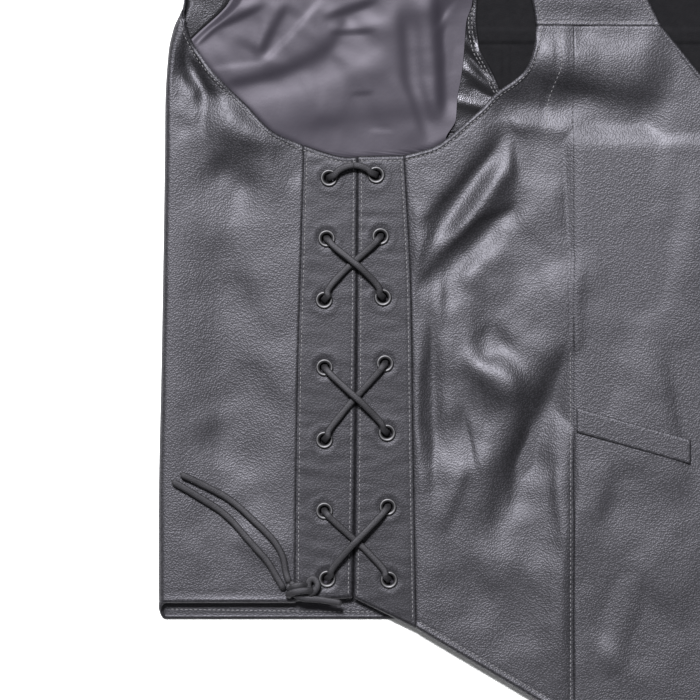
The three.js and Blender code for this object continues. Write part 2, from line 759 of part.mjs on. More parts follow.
// A length of lace along a route, with a section at each of its points.
class Route extends THREE.CatmullRomCurve3 {
  getPointAt(t) {
    return this.getPoint(t);
  }
  getTangentAt(t) {
    return this.getTangent(t);
  }
}
const laceRound = new THREE.Shape();
laceRound.absarc(0, 0, LACE / 2, 0, 2 * Math.PI, false);
function lace(route) {
  const curve = new Route(route.map((p) => new THREE.Vector3(...p)), false, "centripetal");
  return new THREE.ExtrudeGeometry(laceRound, { steps: route.length - 1, curveSegments: 4, extrudePath: curve });
}

const LOW_IN_EYELET = UPPER - 0.4;
const HIGH_IN_EYELET = UPPER + 1.6;
const BEHIND = LINING_MID + LINING / 2 + LACE / 2 + 0.4;
const ACROSS = UPPER + LEATHER / 2 + SEAM_GAP + FLANGE + LACE / 2 + 0.2;
const OVER = ACROSS + 2.7;
const UNDER = ACROSS - 1.2;
const REACH = 8;

// The point this far from one plan place towards another, at a height.
function towards(from, to, far, z) {
  const length = Math.hypot(to.x - from.x, to.y - from.y);
  return [mix(from.x, to.x, far / length), mix(from.y, to.y, far / length), z];
}
// Up through an eyelet and out over its flange, towards another place.
const rising = (at, to) => [
  [at.x, at.y, LOW_IN_EYELET],
  [at.x, at.y, HIGH_IN_EYELET],
  towards(at, to, 1.5, ACROSS - 1),
  towards(at, to, 4, ACROSS),
];
// One strand across the slit, from the eyelet it comes out of to the one it goes into.
function strand(from, to, middle) {
  const length = Math.hypot(to.x - from.x, to.y - from.y);
  return [
    ...rising(from, to),
    towards(from, to, REACH, mix(ACROSS, middle, 0.3)),
    towards(from, to, length / 2 - 4.5, middle),
    towards(from, to, length / 2 + 4.5, middle),
    towards(from, to, length - REACH, mix(ACROSS, middle, 0.3)),
    ...rising(to, from).reverse(),
  ];
}
// Down behind the strip from one eyelet to the next row's.
function behind(from, to) {
  const length = Math.hypot(to.x - from.x, to.y - from.y);
  return [
    towards(from, to, 1.5, BEHIND + 1.1),
    towards(from, to, 4.5, BEHIND),
    towards(from, to, length / 2, BEHIND),
    towards(from, to, length - 4.5, BEHIND),
    towards(from, to, length - 1.5, BEHIND + 1.1),
  ];
}
const backs = rightBackHoles;
const fronts = rightFrontHoles;
const barPeak = { x: -103, y: 80 };
const BAR_GAP = 0.5;
// Half of the bar over the top of the slit, from its middle down into its eyelet.
const halfBar = (hole, sign) => [
  [barPeak.x + sign * BAR_GAP, barPeak.y, ACROSS + 0.9],
  [mix(barPeak.x, hole.x, 0.4), mix(barPeak.y, hole.y, 0.22), ACROSS + 0.7],
  ...rising(hole, barPeak).reverse(),
];
const leftRun = [
  ...halfBar(backs[0], -1),
  ...behind(backs[0], backs[1]),
  ...strand(backs[1], fronts[2], OVER),
  ...behind(fronts[2], fronts[3]),
  ...strand(fronts[3], backs[4], UNDER),
  ...behind(backs[4], backs[5]),
  ...strand(backs[5], fronts[6], UNDER),
];
const rightRun = [
  ...halfBar(fronts[0], 1),
  ...behind(fronts[0], fronts[1]),
  ...strand(fronts[1], backs[2], UNDER),
  ...behind(backs[2], backs[3]),
  ...strand(backs[3], fronts[4], OVER),
  ...behind(fronts[4], fronts[5]),
  ...strand(fronts[5], backs[6], OVER),
];
add("lace_right_1", lace(leftRun), lacing);
add("lace_right_2", lace(rightRun), lacing);

// The left lacing lies under the body: a bar and three crosses, flat against the strips
const FLAT_LACE = LACE / 2 + 0.1;
function flatStrand(from, to) {
  const length = Math.hypot(to.x - from.x, to.y - from.y);
  const into = (at, other) => [
    [at.x, at.y, POCKET_MID + 0.4],
    [at.x, at.y, POCKET_MID - 1.6],
    towards(at, other, 1.5, FLAT_LACE + 1.2),
    towards(at, other, 4.5, FLAT_LACE),
  ];
  return solid(lace([...into(from, to), towards(from, to, length / 2, FLAT_LACE), ...into(to, from).reverse()]));
}
const leftBacks = leftHoles(-1);
const leftFronts = leftHoles(1);
add("lace_left_bar", shapeOf(flatStrand(leftBacks[0], leftFronts[0])), lacing);
for (let i = 0; i < 3; i++) {
  const top = 2 * i + 1;
  const one = flatStrand(leftBacks[top], leftFronts[top + 1]);
  const two = flatStrand(leftFronts[top], leftBacks[top + 1]);
  add(`lace_left_cross_${i + 1}`, shapeOf(one.add(two)), lacing);
}

// The knot below the last row, its loop, and the lace's two free ends on the back
const onBack = (x, y, clear) => [x, y, upperZ(x, y) + LEATHER / 2 + LACE / 2 + clear];
const knotBody = new THREE.SphereGeometry(1, 12, 8);
knotBody.scale(8.2, 5.4, 3.6);
knotBody.rotateZ(-0.35);
knotBody.translate(-140, -204, UPPER + LEATHER / 2 + 3.9);
const knotLoop = lace(
  [
    onBack(-139, -203, 0.6),
    onBack(-131, -205.5, 0.5),
    onBack(-122, -207.4, 1.2),
    onBack(-112, -206.6, 0.9),
    onBack(-109, -210.6, 0.6),
    onBack(-116, -212.2, 0.4),
    onBack(-127, -211.4, 0.4),
    onBack(-137, -206.5, 0.6),
  ],
);
add("lace_right_knot", shapeOf(solid(knotBody).add(solid(knotLoop))), lacing);
const upperEnd = [
  [-146, -198.6, UPPER + 4.6],
  onBack(-148.6, -190.5, 1),
  onBack(-150.4, -181, 1),
  onBack(-155, -172, 1),
  onBack(-162, -164, 1),
  onBack(-170.5, -156, 1),
  onBack(-179.5, -147.6, 1),
  onBack(-189, -140.6, 1),
  onBack(-200.5, -134.4, 1),
  onBack(-210.5, -129.4, 1),
  onBack(-219, -125.4, 1),
];
const lowerEnd = [
  [-149.4, -202.6, UPPER + 4.2],
  onBack(-154.5, -194, 1),
  onBack(-160.5, -184, 1),
  onBack(-168, -175.4, 1),
  onBack(-176, -166.4, 1),
  onBack(-184.2, -157, 1),
  onBack(-193, -149.4, 1),
  onBack(-203.6, -142.6, 1),
  onBack(-214, -136.2, 1),
  onBack(-224.6, -130, 1),
];
add("lace_right_end_1", lace(upperEnd), lacing);
add("lace_right_end_2", lace(lowerEnd), lacing);

// Pocket welts: narrow strips made from the points of the piece they lie on, moved out
const WELT_LIFT = LEATHER / 2 + SEAM_GAP + LINING / 2 + 0.25;
function welt(name, panel, row, low, high, firstColumn, lastColumn) {
  const between = (j, v) => panel[row][j].clone().lerp(panel[row + 1][j], v);
  const rows = [low, high].map((v) =>
    panel[row].slice(firstColumn, lastColumn + 1).map((_, k) => {
      const point = between(firstColumn + k, v);
      point.z += WELT_LIFT;
      return point;
    }),
  );
  add(name, wall(rows, LINING), strapLeather);
}
welt("right_pocket_welt", centreRows, 6, 0, 0.5, 0, 5);
welt("left_pocket_welt", leftCentreRows, 6, 0, 0.5, 1, 5);

// The origin is the middle of the underside's box, measured without the lace's knot and free ends
const FREE_LACE = ["lace_right_knot", "lace_right_end_1", "lace_right_end_2"];
const box = new THREE.Box3();
for (const mesh of vest.children) if (!FREE_LACE.includes(mesh.name)) box.expandByObject(mesh);
const middle = box.getCenter(new THREE.Vector3());
vest.position.set(-middle.x, -middle.y, -box.min.z);

export default vest;
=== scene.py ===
# A side-laced leather vest, lying flat with its right side up.
# Plan places and thicknesses are in millimetres, as the pattern is cut, and turn into metres in each mesh.
import math

import bpy
import numpy as np
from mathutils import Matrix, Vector, noise
from mathutils.bvhtree import BVHTree


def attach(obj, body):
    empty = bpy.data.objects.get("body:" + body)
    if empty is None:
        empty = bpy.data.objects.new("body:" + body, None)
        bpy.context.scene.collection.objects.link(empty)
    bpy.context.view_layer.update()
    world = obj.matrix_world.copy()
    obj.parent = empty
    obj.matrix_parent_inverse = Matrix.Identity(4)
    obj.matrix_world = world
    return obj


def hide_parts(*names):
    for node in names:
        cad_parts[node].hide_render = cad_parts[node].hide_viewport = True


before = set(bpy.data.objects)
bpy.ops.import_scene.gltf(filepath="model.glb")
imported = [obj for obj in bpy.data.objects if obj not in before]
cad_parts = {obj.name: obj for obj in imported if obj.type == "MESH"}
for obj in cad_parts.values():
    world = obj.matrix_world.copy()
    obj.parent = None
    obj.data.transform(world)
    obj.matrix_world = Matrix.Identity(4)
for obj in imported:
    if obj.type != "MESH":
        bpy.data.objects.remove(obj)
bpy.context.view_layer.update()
MM = 0.001

# Camera: straight above the right side lacing, as far up as a copy stand's column is tall.
# The view is 467 mm wide where the leather's upper face lies.
CAMERA_X = -105.7
CAMERA_Y = -43
CAMERA_HEIGHT = 2400
VIEW_WIDTH = 466.7
TOP_FACE = 10
bpy.ops.object.select_all(action="DESELECT")
bpy.ops.object.camera_add(location=(CAMERA_X * MM, CAMERA_Y * MM, CAMERA_HEIGHT * MM), rotation=(0, 0, 0))
camera = bpy.context.object
camera.data.lens = camera.data.sensor_width * (CAMERA_HEIGHT - TOP_FACE) / VIEW_WIDTH
camera.data.clip_end = 20
bpy.context.scene.camera = camera
bpy.context.scene.view_settings.view_transform = "Standard"

# The lace's two free ends: soft round leather lace that comes out of the knot below the last eyelets
# and lies on the back. They rest on the upper layer, so the form in which the vest lies comes first.
LEATHER = 2
ROLL = 5
ROLL_MID = ROLL - LEATHER / 2
LOWER_LEVEL = LEATHER / 2
UPPER_LEVEL = 2 * ROLL - LEATHER / 2
LOWEST_UPPER = 5
SHOULDER_LEVEL = 4.9
SHOULDER_REACH = 60
POCKET = 5.4
LEFT_SLIT = 87
LACE = 3.7
LACE_WIDE = 4.4
LACE_HIGH = 2.8


def smooth(t):
    k = np.clip(t, 0, 1)
    return k * k * (3 - 2 * k)


def mix(a, b, t):
    return a + (b - a) * t


def curve_through(points, steps=16):
    """A soft curve through plan points, as a dense row of points."""
    p = np.array([points[0], *points, points[-1]], float)
    t = np.linspace(0, 1, steps, endpoint=False)[:, None]
    spans = [
        0.5 * (2 * b + (c - a) * t + (2 * a - 5 * b + 4 * c - d) * t**2 + (3 * b - a - 3 * c + d) * t**3)
        for a, b, c, d in zip(p, p[1:], p[2:], p[3:])
    ]
    return np.vstack([*spans, p[-1:]])


def by_height(*points):
    """Reads x at any y on a soft curve through (x, y) points that climb, with no swing past them."""
    x, y = np.array(points, float).T
    rise = np.diff(y)
    lean = np.diff(x) / rise
    same_way = lean[:-1] * lean[1:] > 0
    mean = 2 * lean[:-1] * lean[1:] / np.where(same_way, lean[:-1] + lean[1:], 1)
    tangent = np.concatenate([lean[:1], np.where(same_way, mean, 0), lean[-1:]])

    def read(at):
        at = np.clip(at, y[0], y[-1])
        k = np.clip(np.searchsorted(y, at, side="right") - 1, 0, len(y) - 2)
        t = (at - y[k]) / rise[k]
        bend = rise[k] * t * (1 - t) * (tangent[k] * (1 - t) - tangent[k + 1] * t)
        return mix(x[k], x[k + 1], smooth(t)) + bend

    return read


def away(line, x, y):
    """Distance in plan from points to a line of points."""
    nearest = np.full(np.shape(x), np.inf)
    for (ax, ay), (bx, by) in zip(line, line[1:]):
        dx, dy = bx - ax, by - ay
        t = np.clip(((x - ax) * dx + (y - ay) * dy) / (dx * dx + dy * dy + 1e-12), 0, 1)
        nearest = np.minimum(nearest, np.hypot(x - ax - t * dx, y - ay - t * dy))
    return nearest


def swell(folds, x, y):
    """Height of soft folds, each a straight run with its half width and its height."""
    total = np.zeros(np.shape(x))
    for x1, y1, x2, y2, wide, high in folds:
        fade, side = along_run(x1, y1, x2, y2, x, y)
        total = total + high * fade * np.exp(-((side / wide) ** 2))
    return total


def along_run(x1, y1, x2, y2, x, y):
    """How much of a fold is left at points past its ends, and their distance to its line's upper left."""
    dx, dy = x2 - x1, y2 - y1
    length = math.hypot(dx, dy)
    nx, ny = -dy / length, dx / length
    if nx * -0.42 + ny * 0.91 < 0:
        nx, ny = -nx, -ny
    t = ((x - x1) * dx + (y - y1) * dy) / length**2
    return smooth((t + 0.25) / 0.5) * smooth((1.25 - t) / 0.5), (x - x1) * nx + (y - y1) * ny


def climb(faces, x, y):
    """Height of slopes in the cloth: each a straight run, the slope's half width, and how far it climbs
    towards the upper left. Past the slope the cloth settles back to its level. Below zero it climbs the
    other way."""
    total = np.zeros(np.shape(x))
    for x1, y1, x2, y2, wide, high in faces:
        fade, side = along_run(x1, y1, x2, y2, x, y)
        total = total + high * fade * np.tanh(side / wide) * np.exp(-np.abs(side) / (3.2 * wide))
    return total


left_fold = by_height(
    (-233.7, -230), (-233.7, -156), (-231.7, -43), (-229.7, 86), (-229.4, 120), (-227.2, 156), (-224, 171),
    (-217, 190), (-217, 360),
)
right_fold = by_height(
    (232, -293), (233, 140), (231.5, 165), (227, 190), (218, 212), (206, 231), (189, 249), (170, 265),
    (148, 279), (127.7, 290.3),
)
back_seam = by_height((-142.3, -225), (-142.3, -210), (-141, -76), (-138.3, 24), (-136.3, 93))
front_seam = by_height((-61.7, -228), (-63.7, -110), (-65, -10), (-69.7, 86.3))
slit = by_height((-103.7, -207), (-102.3, -126), (-101.2, -10), (-100.6, 86))
RIGHT_SHOULDER = [(-104.3, 290.3), (-39, 347)]
LEFT_SHOULDER = [(127.7, 290.3), (61, 347)]

# Largest folds of the upper layer: x1, y1, x2, y2, half width, height
UPPER_FOLDS = [
    (-6, 97, -46, 37, 9, -2.6),
    (-1, 78, -36, 30, 8, 3.2),
    (6, 56, -46, 5, 8, -2.2),
    (36, -54, -8, -158, 13, -3.4),
    (-26, -45, 6, -74, 12, 2.6),
    (35, -95, 33, -262, 10, 2.8),
    (-52, -12, -50, -132, 7, -2.4),
    (8, 137, 60, 128, 10, -2.8),
    (-4, 112, 50, 106, 9, 2.4),
    (-216, 150, -197, 124, 8, -2.4),
    (-192, 112, -160, 90, 9, 1.8),
    (-196, 82, -172, 66, 14, -1.8),
    (-190, 30, -188, -165, 22, -2.6),
    (66, 66, 104, -4, 14, -3),
    (84, -190, 66, -262, 15, 2.6),
    (120, -210, 108, -290, 11, -2.6),
    (178, 96, 202, -20, 15, -3),
    (168, -90, 204, -216, 15, 2.8),
    (190, -230, 168, -286, 12, -2.6),
    (62, 226, 6, 272, 11, 2.2),
    (176, 220, 128, 276, 11, 2.2),
]


def lower_z(x, y):
    """Height of the lower layer's middle: flat, but for the room over the left lacing."""
    side = 1 - smooth((np.abs(x - LEFT_SLIT - 2) - 40) / 24)
    return LOWER_LEVEL + POCKET * side * (1 - smooth((y - 92) / 24))


def upper_z(x, y):
    """Height of the upper layer's middle."""
    lacing = smooth((np.maximum(back_seam(y) - x, x - front_seam(y)) - 3) / 12)
    sides = smooth((x - left_fold(y) - ROLL) / 14) * smooth((right_fold(y) - ROLL - x) / 14)
    shoulder = np.minimum(away(RIGHT_SHOULDER, x, y), away(LEFT_SHOULDER, x, y))
    level = mix(SHOULDER_LEVEL, UPPER_LEVEL, smooth(shoulder / SHOULDER_REACH))
    folds = swell(UPPER_FOLDS, x, y) * sides * smooth(shoulder / SHOULDER_REACH)
    floor = np.maximum(LOWEST_UPPER, lower_z(x, y) + LEATHER + 2)
    floor = np.where(shoulder < SHOULDER_REACH, SHOULDER_LEVEL, floor)
    return np.maximum(level + folds * np.where(y < 100, lacing, 1), floor)


def node_finish(name, colour, roughness):
    """A new material with one shader, given its base colour and roughness; both are returned."""
    material = bpy.data.materials.new(name)
    material.use_nodes = True
    shader = material.node_tree.nodes["Principled BSDF"]
    shader.inputs["Base Color"].default_value = (*colour, 1)
    shader.inputs["Roughness"].default_value = roughness
    return material, shader


def node(material, kind, settings=(), **inputs):
    """Adds a node; an input is a value, or another node's output that is joined to it."""
    made = material.node_tree.nodes.new(kind)
    for key, value in dict(settings).items():
        setattr(made, key, value)
    for key, value in inputs.items():
        socket = made.inputs[int(key[1:])] if key[1:].isdigit() else made.inputs[key.replace("_", " ")]
        if isinstance(value, bpy.types.NodeSocket):
            material.node_tree.links.new(value, socket)
        else:
            socket.default_value = value
    return made


def join(material, output, socket):
    material.node_tree.links.new(output, socket)


def lace_leather():
    """Matt cut leather with a fine nap along its length."""
    material, shader = node_finish("lace leather", (0.01, 0.01, 0.0105), 0.55)
    place = node(material, "ShaderNodeTexCoord").outputs["Object"]
    nap = node(material, "ShaderNodeTexNoise", Vector=place, Scale=1400, Detail=3, Roughness=0.65)
    patches = node(material, "ShaderNodeTexNoise", Vector=place, Scale=160, Detail=2)
    tone = node(
        material, "ShaderNodeMix", {"data_type": "RGBA"},
        _0=patches.outputs["Fac"], _6=(0.005, 0.005, 0.0053, 1), _7=(0.014, 0.0137, 0.0152, 1),
    )
    join(material, tone.outputs[2], shader.inputs["Base Color"])
    bump = node(material, "ShaderNodeBump", Strength=0.8, Distance=0.0003, Height=nap.outputs["Fac"])
    join(material, bump.outputs["Normal"], shader.inputs["Normal"])
    shader.inputs["Specular IOR Level"].default_value = 0.3
    shader.inputs["Specular Tint"].default_value = (0.92, 0.9, 1.0, 1)
    return material


lace_finish = lace_leather()


def lay(name, columns, rows, place, lift=None, finish=None):
    """A grid of cloth whose points are laid in place, in millimetres, and lifted along its own normal."""
    u, v = np.meshgrid(columns, rows)
    points = np.stack(np.broadcast_arrays(*place(u, v)), axis=-1).astype(float)
    if lift is not None:
        normal = np.cross(np.gradient(points, axis=1), np.gradient(points, axis=0))
        size = np.linalg.norm(normal, axis=-1, keepdims=True)
        normal = normal / np.maximum(size, 1e-9)
        for i in range(1, len(columns)):
            flat = size[:, i, 0] < 1e-6
            normal[flat, i] = normal[flat, i - 1]
        points += normal * lift(u, v, points[..., 0], points[..., 1])[..., None]
    bpy.ops.object.select_all(action="DESELECT")
    bpy.ops.mesh.primitive_grid_add(x_subdivisions=len(columns) - 1, y_subdivisions=len(rows) - 1, size=1)
    piece = bpy.context.object
    piece.name = name
    mesh = piece.data
    flat = np.empty(len(mesh.vertices) * 3)
    mesh.vertices.foreach_get("co", flat)
    flat = flat.reshape(-1, 3)
    i = np.rint((flat[:, 0] + 0.5) * (len(columns) - 1)).astype(int)
    j = np.rint((flat[:, 1] + 0.5) * (len(rows) - 1)).astype(int)
    mesh.vertices.foreach_set("co", (points[j, i] * MM).ravel())
    mesh.update()
    bpy.ops.object.mode_set(mode="EDIT")
    bpy.ops.mesh.select_all(action="SELECT")
    bpy.ops.mesh.remove_doubles(threshold=2e-6)
    bpy.ops.object.mode_set(mode="OBJECT")
    if finish:
        mesh.materials.append(finish)
    return piece


def through(route, step):
    """Points about a step apart on a soft curve through a route in space."""
    p = np.array([route[0], *route, route[-1]], float)
    dense = []
    for a, b, c, d in zip(p, p[1:], p[2:], p[3:]):
        t = np.linspace(0, 1, 24, endpoint=False)[:, None]
        dense.append(0.5 * (2 * b + (c - a) * t + (2 * a - 5 * b + 4 * c - d) * t**2 + (3 * b - a - 3 * c + d) * t**3))
    line = np.vstack([*dense, p[-1:]])
    along = np.concatenate([[0], np.cumsum(np.linalg.norm(np.diff(line, axis=0), axis=1))])
    places = np.linspace(0, along[-1], max(4, round(along[-1] / step)) + 1)
    return np.stack([np.interp(places, along, line[:, k]) for k in range(3)], axis=-1), along[-1]


def lace_tube(name, route, width=LACE_WIDE, height=LACE_HIGH, step=1.3, sides=16, seed=0.0):
    """A lace along a route: a soft flattish round, a little uneven, with closed ends."""
    line, length = through(route, step)
    ahead = np.gradient(line, axis=0)
    ahead /= np.linalg.norm(ahead, axis=1, keepdims=True)
    side = np.cross(ahead, (0, 0, 1.0))
    for k in range(len(side)):
        if np.linalg.norm(side[k]) < 0.35 and k:
            side[k] = side[k - 1] - ahead[k] * side[k - 1].dot(ahead[k])
    for k in range(len(side) - 2, -1, -1):
        if np.linalg.norm(side[k]) < 0.35:
            side[k] = side[k + 1] - ahead[k] * side[k + 1].dot(ahead[k])
    side /= np.linalg.norm(side, axis=1, keepdims=True)
    for k in range(1, len(side)):
        if side[k].dot(side[k - 1]) < 0:
            side[k] = -side[k]
    over = np.cross(side, ahead)
    ends = np.minimum(np.arange(len(line)), np.arange(len(line))[::-1])
    taper = np.array([0.02, 0.8, 1.0])[np.minimum(ends, 2)]
    uneven = np.array([noise.noise(Vector((k * step / 7, seed, 3.1))) for k in range(len(line))])

    def place(u, v):
        k = np.rint(v).astype(int)
        a = (width / 2 * (1 + 0.07 * uneven[k]) * taper[k])[..., None]
        b = (height / 2 * (1 - 0.08 * uneven[k]) * taper[k])[..., None]
        wide, high = np.cos(u)[..., None], np.sin(u)[..., None]
        square = (np.abs(wide) ** 4 + np.abs(high) ** 4) ** 0.25
        at = line[k] + side[k] * a * wide / square + over[k] * b * high / square
        return at[..., 0], at[..., 1], at[..., 2]

    turns = np.linspace(0, 2 * math.pi, sides + 1)
    piece = lay(name, turns, np.arange(len(line)), place, finish=lace_finish)
    bpy.ops.object.mode_set(mode="EDIT")
    bpy.ops.mesh.select_all(action="SELECT")
    bpy.ops.mesh.fill_holes(sides=sides)
    bpy.ops.mesh.normals_make_consistent(inside=False)
    bpy.ops.object.mode_set(mode="OBJECT")
    bpy.ops.object.shade_smooth()
    return piece, [tuple(p * MM) for p in line], length * MM


def on_back(x, y, clear):
    return (x, y, float(upper_z(x, y)) + LEATHER / 2 + LACE / 2 + clear)


UPPER_END = [
    (-146, -198.6, UPPER_LEVEL + 4.6), on_back(-148.6, -190.5, 1), on_back(-150.4, -181, 1),
    on_back(-155, -172, 1), on_back(-162, -164, 1), on_back(-170.5, -156, 1), on_back(-179.5, -147.6, 1),
    on_back(-189, -140.6, 1), on_back(-200.5, -134.4, 1), on_back(-210.5, -129.4, 1), on_back(-219, -125.4, 1),
]
LOWER_END = [
    (-149.4, -202.6, UPPER_LEVEL + 4.2), on_back(-154.5, -194, 1), on_back(-160.5, -184, 1),
    on_back(-168, -175.4, 1), on_back(-176, -166.4, 1), on_back(-184.2, -157, 1), on_back(-193, -149.4, 1),
    on_back(-203.6, -142.6, 1), on_back(-214, -136.2, 1), on_back(-224.6, -130, 1),
]
upper_end, upper_path, upper_length = lace_tube("lace_free_end_upper", UPPER_END, seed=1.3)
lower_end, lower_path, lower_length = lace_tube("lace_free_end_lower", LOWER_END, seed=5.7)
for piece, replaced in ((upper_end, "lace_right_end_1"), (lower_end, "lace_right_end_2")):
    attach(piece, "root")
    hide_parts(replaced)

# The knot that ends the lacing, with a short loop left in it: the two lace ends drawn once round each
# other and pulled flat, so that one strand shows as a band across the other two.
knot_parts = []


def knot_strand(number, route, width=LACE_WIDE):
    knot_parts.append(lace_tube(f"knot_strand_{number}", route, width=width, seed=number * 2.1)[0])


knot_strand(1, [(-148, -198.4, 13.6), (-145, -202, 13.8), (-142.4, -205.6, 13.4), (-137, -208.4, 12.6),
                (-128, -209, 12.3), (-118, -210.4, 12.3), (-110.6, -212, 12.3)])
knot_strand(2, [(-145.6, -196.6, 14), (-142.6, -200.6, 14.2), (-139.6, -204.6, 13.2), (-134, -207, 12.4)])
knot_strand(3, [(-147.4, -208.4, 12.5), (-145.8, -205.2, 14.6), (-141, -203.6, 16.2), (-135.4, -203, 16),
                (-131.4, -203.6, 14.2), (-130.4, -206.6, 12.6)])
knot_strand(4, [(-146.2, -203.6, 12.8), (-143.6, -200.6, 15.4), (-138.4, -199.4, 15.4), (-134.6, -200.4, 13),
                (-133, -203.8, 12.5)])
knot_strand(5, [(-134.6, -205.8, 13.2), (-129.6, -203.6, 13.8), (-127.2, -199.2, 13.6), (-129.6, -195.4, 13.2),
                (-133, -196.6, 13), (-133.4, -200.6, 13), (-131.4, -205.6, 12.5)])
bpy.ops.object.select_all(action="DESELECT")
for part in knot_parts:
    part.select_set(True)
bpy.context.view_layer.objects.active = knot_parts[0]
bpy.ops.object.join()
knot = bpy.context.object
knot.name = "lace_knot"
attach(knot, "root")
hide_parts("lace_right_knot")

# The lacing itself: one bar over the top of the slit and three crosses, then behind the strips from
# each cross to the next. Two runs of the same lace, one from each end of the bar.
EYELETS = [
    ((-119.7, 71.7), (-88.3, 73.7)), ((-121.3, 31.3), (-85.3, 32.7)), ((-123, -9.7), (-83.7, -8)),
    ((-122.7, -54.7), (-82.3, -52)), ((-122.8, -103), (-81, -98.3)), ((-122.8, -150.3), (-80.5, -147.7)),
    ((-121, -195.7), (-79.7, -196.3)),
]
FLANGE = 0.9
ACROSS = UPPER_LEVEL + LEATHER / 2 + 0.3 + FLANGE + LACE / 2 + 0.2
OVER = ACROSS + 2.7
UNDER = ACROSS - 1.2
BEHIND = 5.55
REACH = 8


def towards(start, end, far, z, bow=0.0):
    """A point this far from one plan place to another, pushed aside by a bow."""
    dx, dy = end[0] - start[0], end[1] - start[1]
    length = math.hypot(dx, dy)
    return (start[0] + dx * far / length - dy * bow / length, start[1] + dy * far / length + dx * bow / length, z)


def rising(hole, other):
    return [
        (*hole, UPPER_LEVEL - 0.4), (*hole, UPPER_LEVEL + 1.6), towards(hole, other, 1.5, ACROSS - 1),
        towards(hole, other, 4, ACROSS),
    ]


def strand(start, end, middle, bow=0.0):
    """Across the slit, from the eyelet it comes out of to the one it goes into, bowed at its lower leg."""
    length = math.dist(start, end)
    return [
        *rising(start, end),
        towards(start, end, REACH, mix(ACROSS, middle, 0.3)),
        towards(start, end, length / 2 - 4.5, middle, bow * 0.6),
        towards(start, end, length / 2 + 4.5, middle, bow * 0.9),
        towards(start, end, length - REACH * 1.5, mix(ACROSS, middle, 0.4), bow),
        towards(start, end, length - REACH * 0.7, mix(ACROSS, middle, 0.2), bow * 0.7),
        *rising(end, start)[::-1],
    ]


def behind(start, end):
    length = math.dist(start, end)
    return [
        towards(start, end, 1.5, BEHIND + 1.1), towards(start, end, 4.5, BEHIND),
        towards(start, end, length / 2, BEHIND), towards(start, end, length - 4.5, BEHIND),
        towards(start, end, length - 1.5, BEHIND + 1.1),
    ]


BAR_PEAK = (-103, 80)


def half_bar(hole, sign):
    return [
        (BAR_PEAK[0] - sign * 1.6, BAR_PEAK[1] + 0.3, ACROSS + 0.9),
        (mix(BAR_PEAK[0], hole[0], 0.3), mix(BAR_PEAK[1], hole[1], 0.1), ACROSS + 0.8),
        (mix(BAR_PEAK[0], hole[0], 0.62), mix(BAR_PEAK[1], hole[1], 0.42), ACROSS + 0.4),
        *rising(hole, BAR_PEAK)[::-1],
    ]


backs = [row[0] for row in EYELETS]
fronts = [row[1] for row in EYELETS]
first_run = [
    *half_bar(backs[0], -1), *behind(backs[0], backs[1]), *strand(backs[1], fronts[2], OVER, 3.2),
    *behind(fronts[2], fronts[3]), *strand(fronts[3], backs[4], UNDER, -2), *behind(backs[4], backs[5]),
    *strand(backs[5], fronts[6], UNDER, 2.6),
]
second_run = [
    *half_bar(fronts[0], 1), *behind(fronts[0], fronts[1]), *strand(fronts[1], backs[2], UNDER, -3.2),
    *behind(backs[2], backs[3]), *strand(backs[3], fronts[4], OVER, 2), *behind(fronts[4], fronts[5]),
    *strand(fronts[5], backs[6], OVER, -2.2),
]
for name, run, replaced in (
    ("lace_run_back", first_run, "lace_right_1"),
    ("lace_run_front", second_run, "lace_right_2"),
):
    piece = lace_tube(name, run, seed=len(name))[0]
    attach(piece, "root")
    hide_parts(replaced)

# The left side's lacing, which the vest lies on: the same bar and crosses, pressed flat by its weight.
FLAT_LACE = LACE / 2 + 0.1
POCKET_MID = LOWER_LEVEL + POCKET


def left_hole(place):
    return (LEFT_SLIT + place[0] - float(slit(place[1])), place[1])


def flat_strand(start, end):
    def into(hole, other):
        return [
            (*hole, POCKET_MID + 0.4), (*hole, POCKET_MID - 1.6), towards(hole, other, 1.5, FLAT_LACE + 1.2),
            towards(hole, other, 4.5, FLAT_LACE),
        ]

    middle = towards(start, end, math.dist(start, end) / 2, FLAT_LACE)
    return [*into(start, end), middle, *into(end, start)[::-1]]


left_backs = [left_hole(place) for place in backs]
left_fronts = [left_hole(place) for place in fronts]
left_pairs = [("lace_left_bar", [(left_backs[0], left_fronts[0])])]
for i in range(3):
    top = 2 * i + 1
    pairs = [(left_backs[top], left_fronts[top + 1]), (left_fronts[top], left_backs[top + 1])]
    left_pairs.append((f"lace_left_cross_{i + 1}", pairs))
for replaced, pairs in left_pairs:
    strands = [lace_tube(f"{replaced}_strand", flat_strand(*pair), step=2.4, sides=10)[0] for pair in pairs]
    bpy.ops.object.select_all(action="DESELECT")
    for part in strands:
        part.select_set(True)
    bpy.context.view_layer.objects.active = strands[0]
    bpy.ops.object.join()
    piece = bpy.context.object
    piece.name = f"{replaced}_laid"
    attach(piece, "root")
    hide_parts(replaced)

# The back: one piece of pebbled cow hide, black, drum dyed. It runs from the left lacing under the body,
# round the left fold and over to the right lacing strip. Its hem and armhole edges are turned and topstitched.
HIDE_THICK = 1.8
EDGE_STEPS = (0, 0.3, 0.7, 1.2, 1.8, 2.6, 3.6, 5)


def spread(length, step, start=True, end=True):
    """Places from 0 to 1 along a length, closer together at its sewn or turned edges."""
    near = np.array(EDGE_STEPS if start else (0,)) / length
    far = 1 - np.array(EDGE_STEPS if end else (0,)) / length
    inner = np.linspace(near[-1], far.min(), max(2, round(length * (far.min() - near[-1]) / step)) + 1)
    return np.unique(np.round(np.concatenate([near, inner, far]), 6))


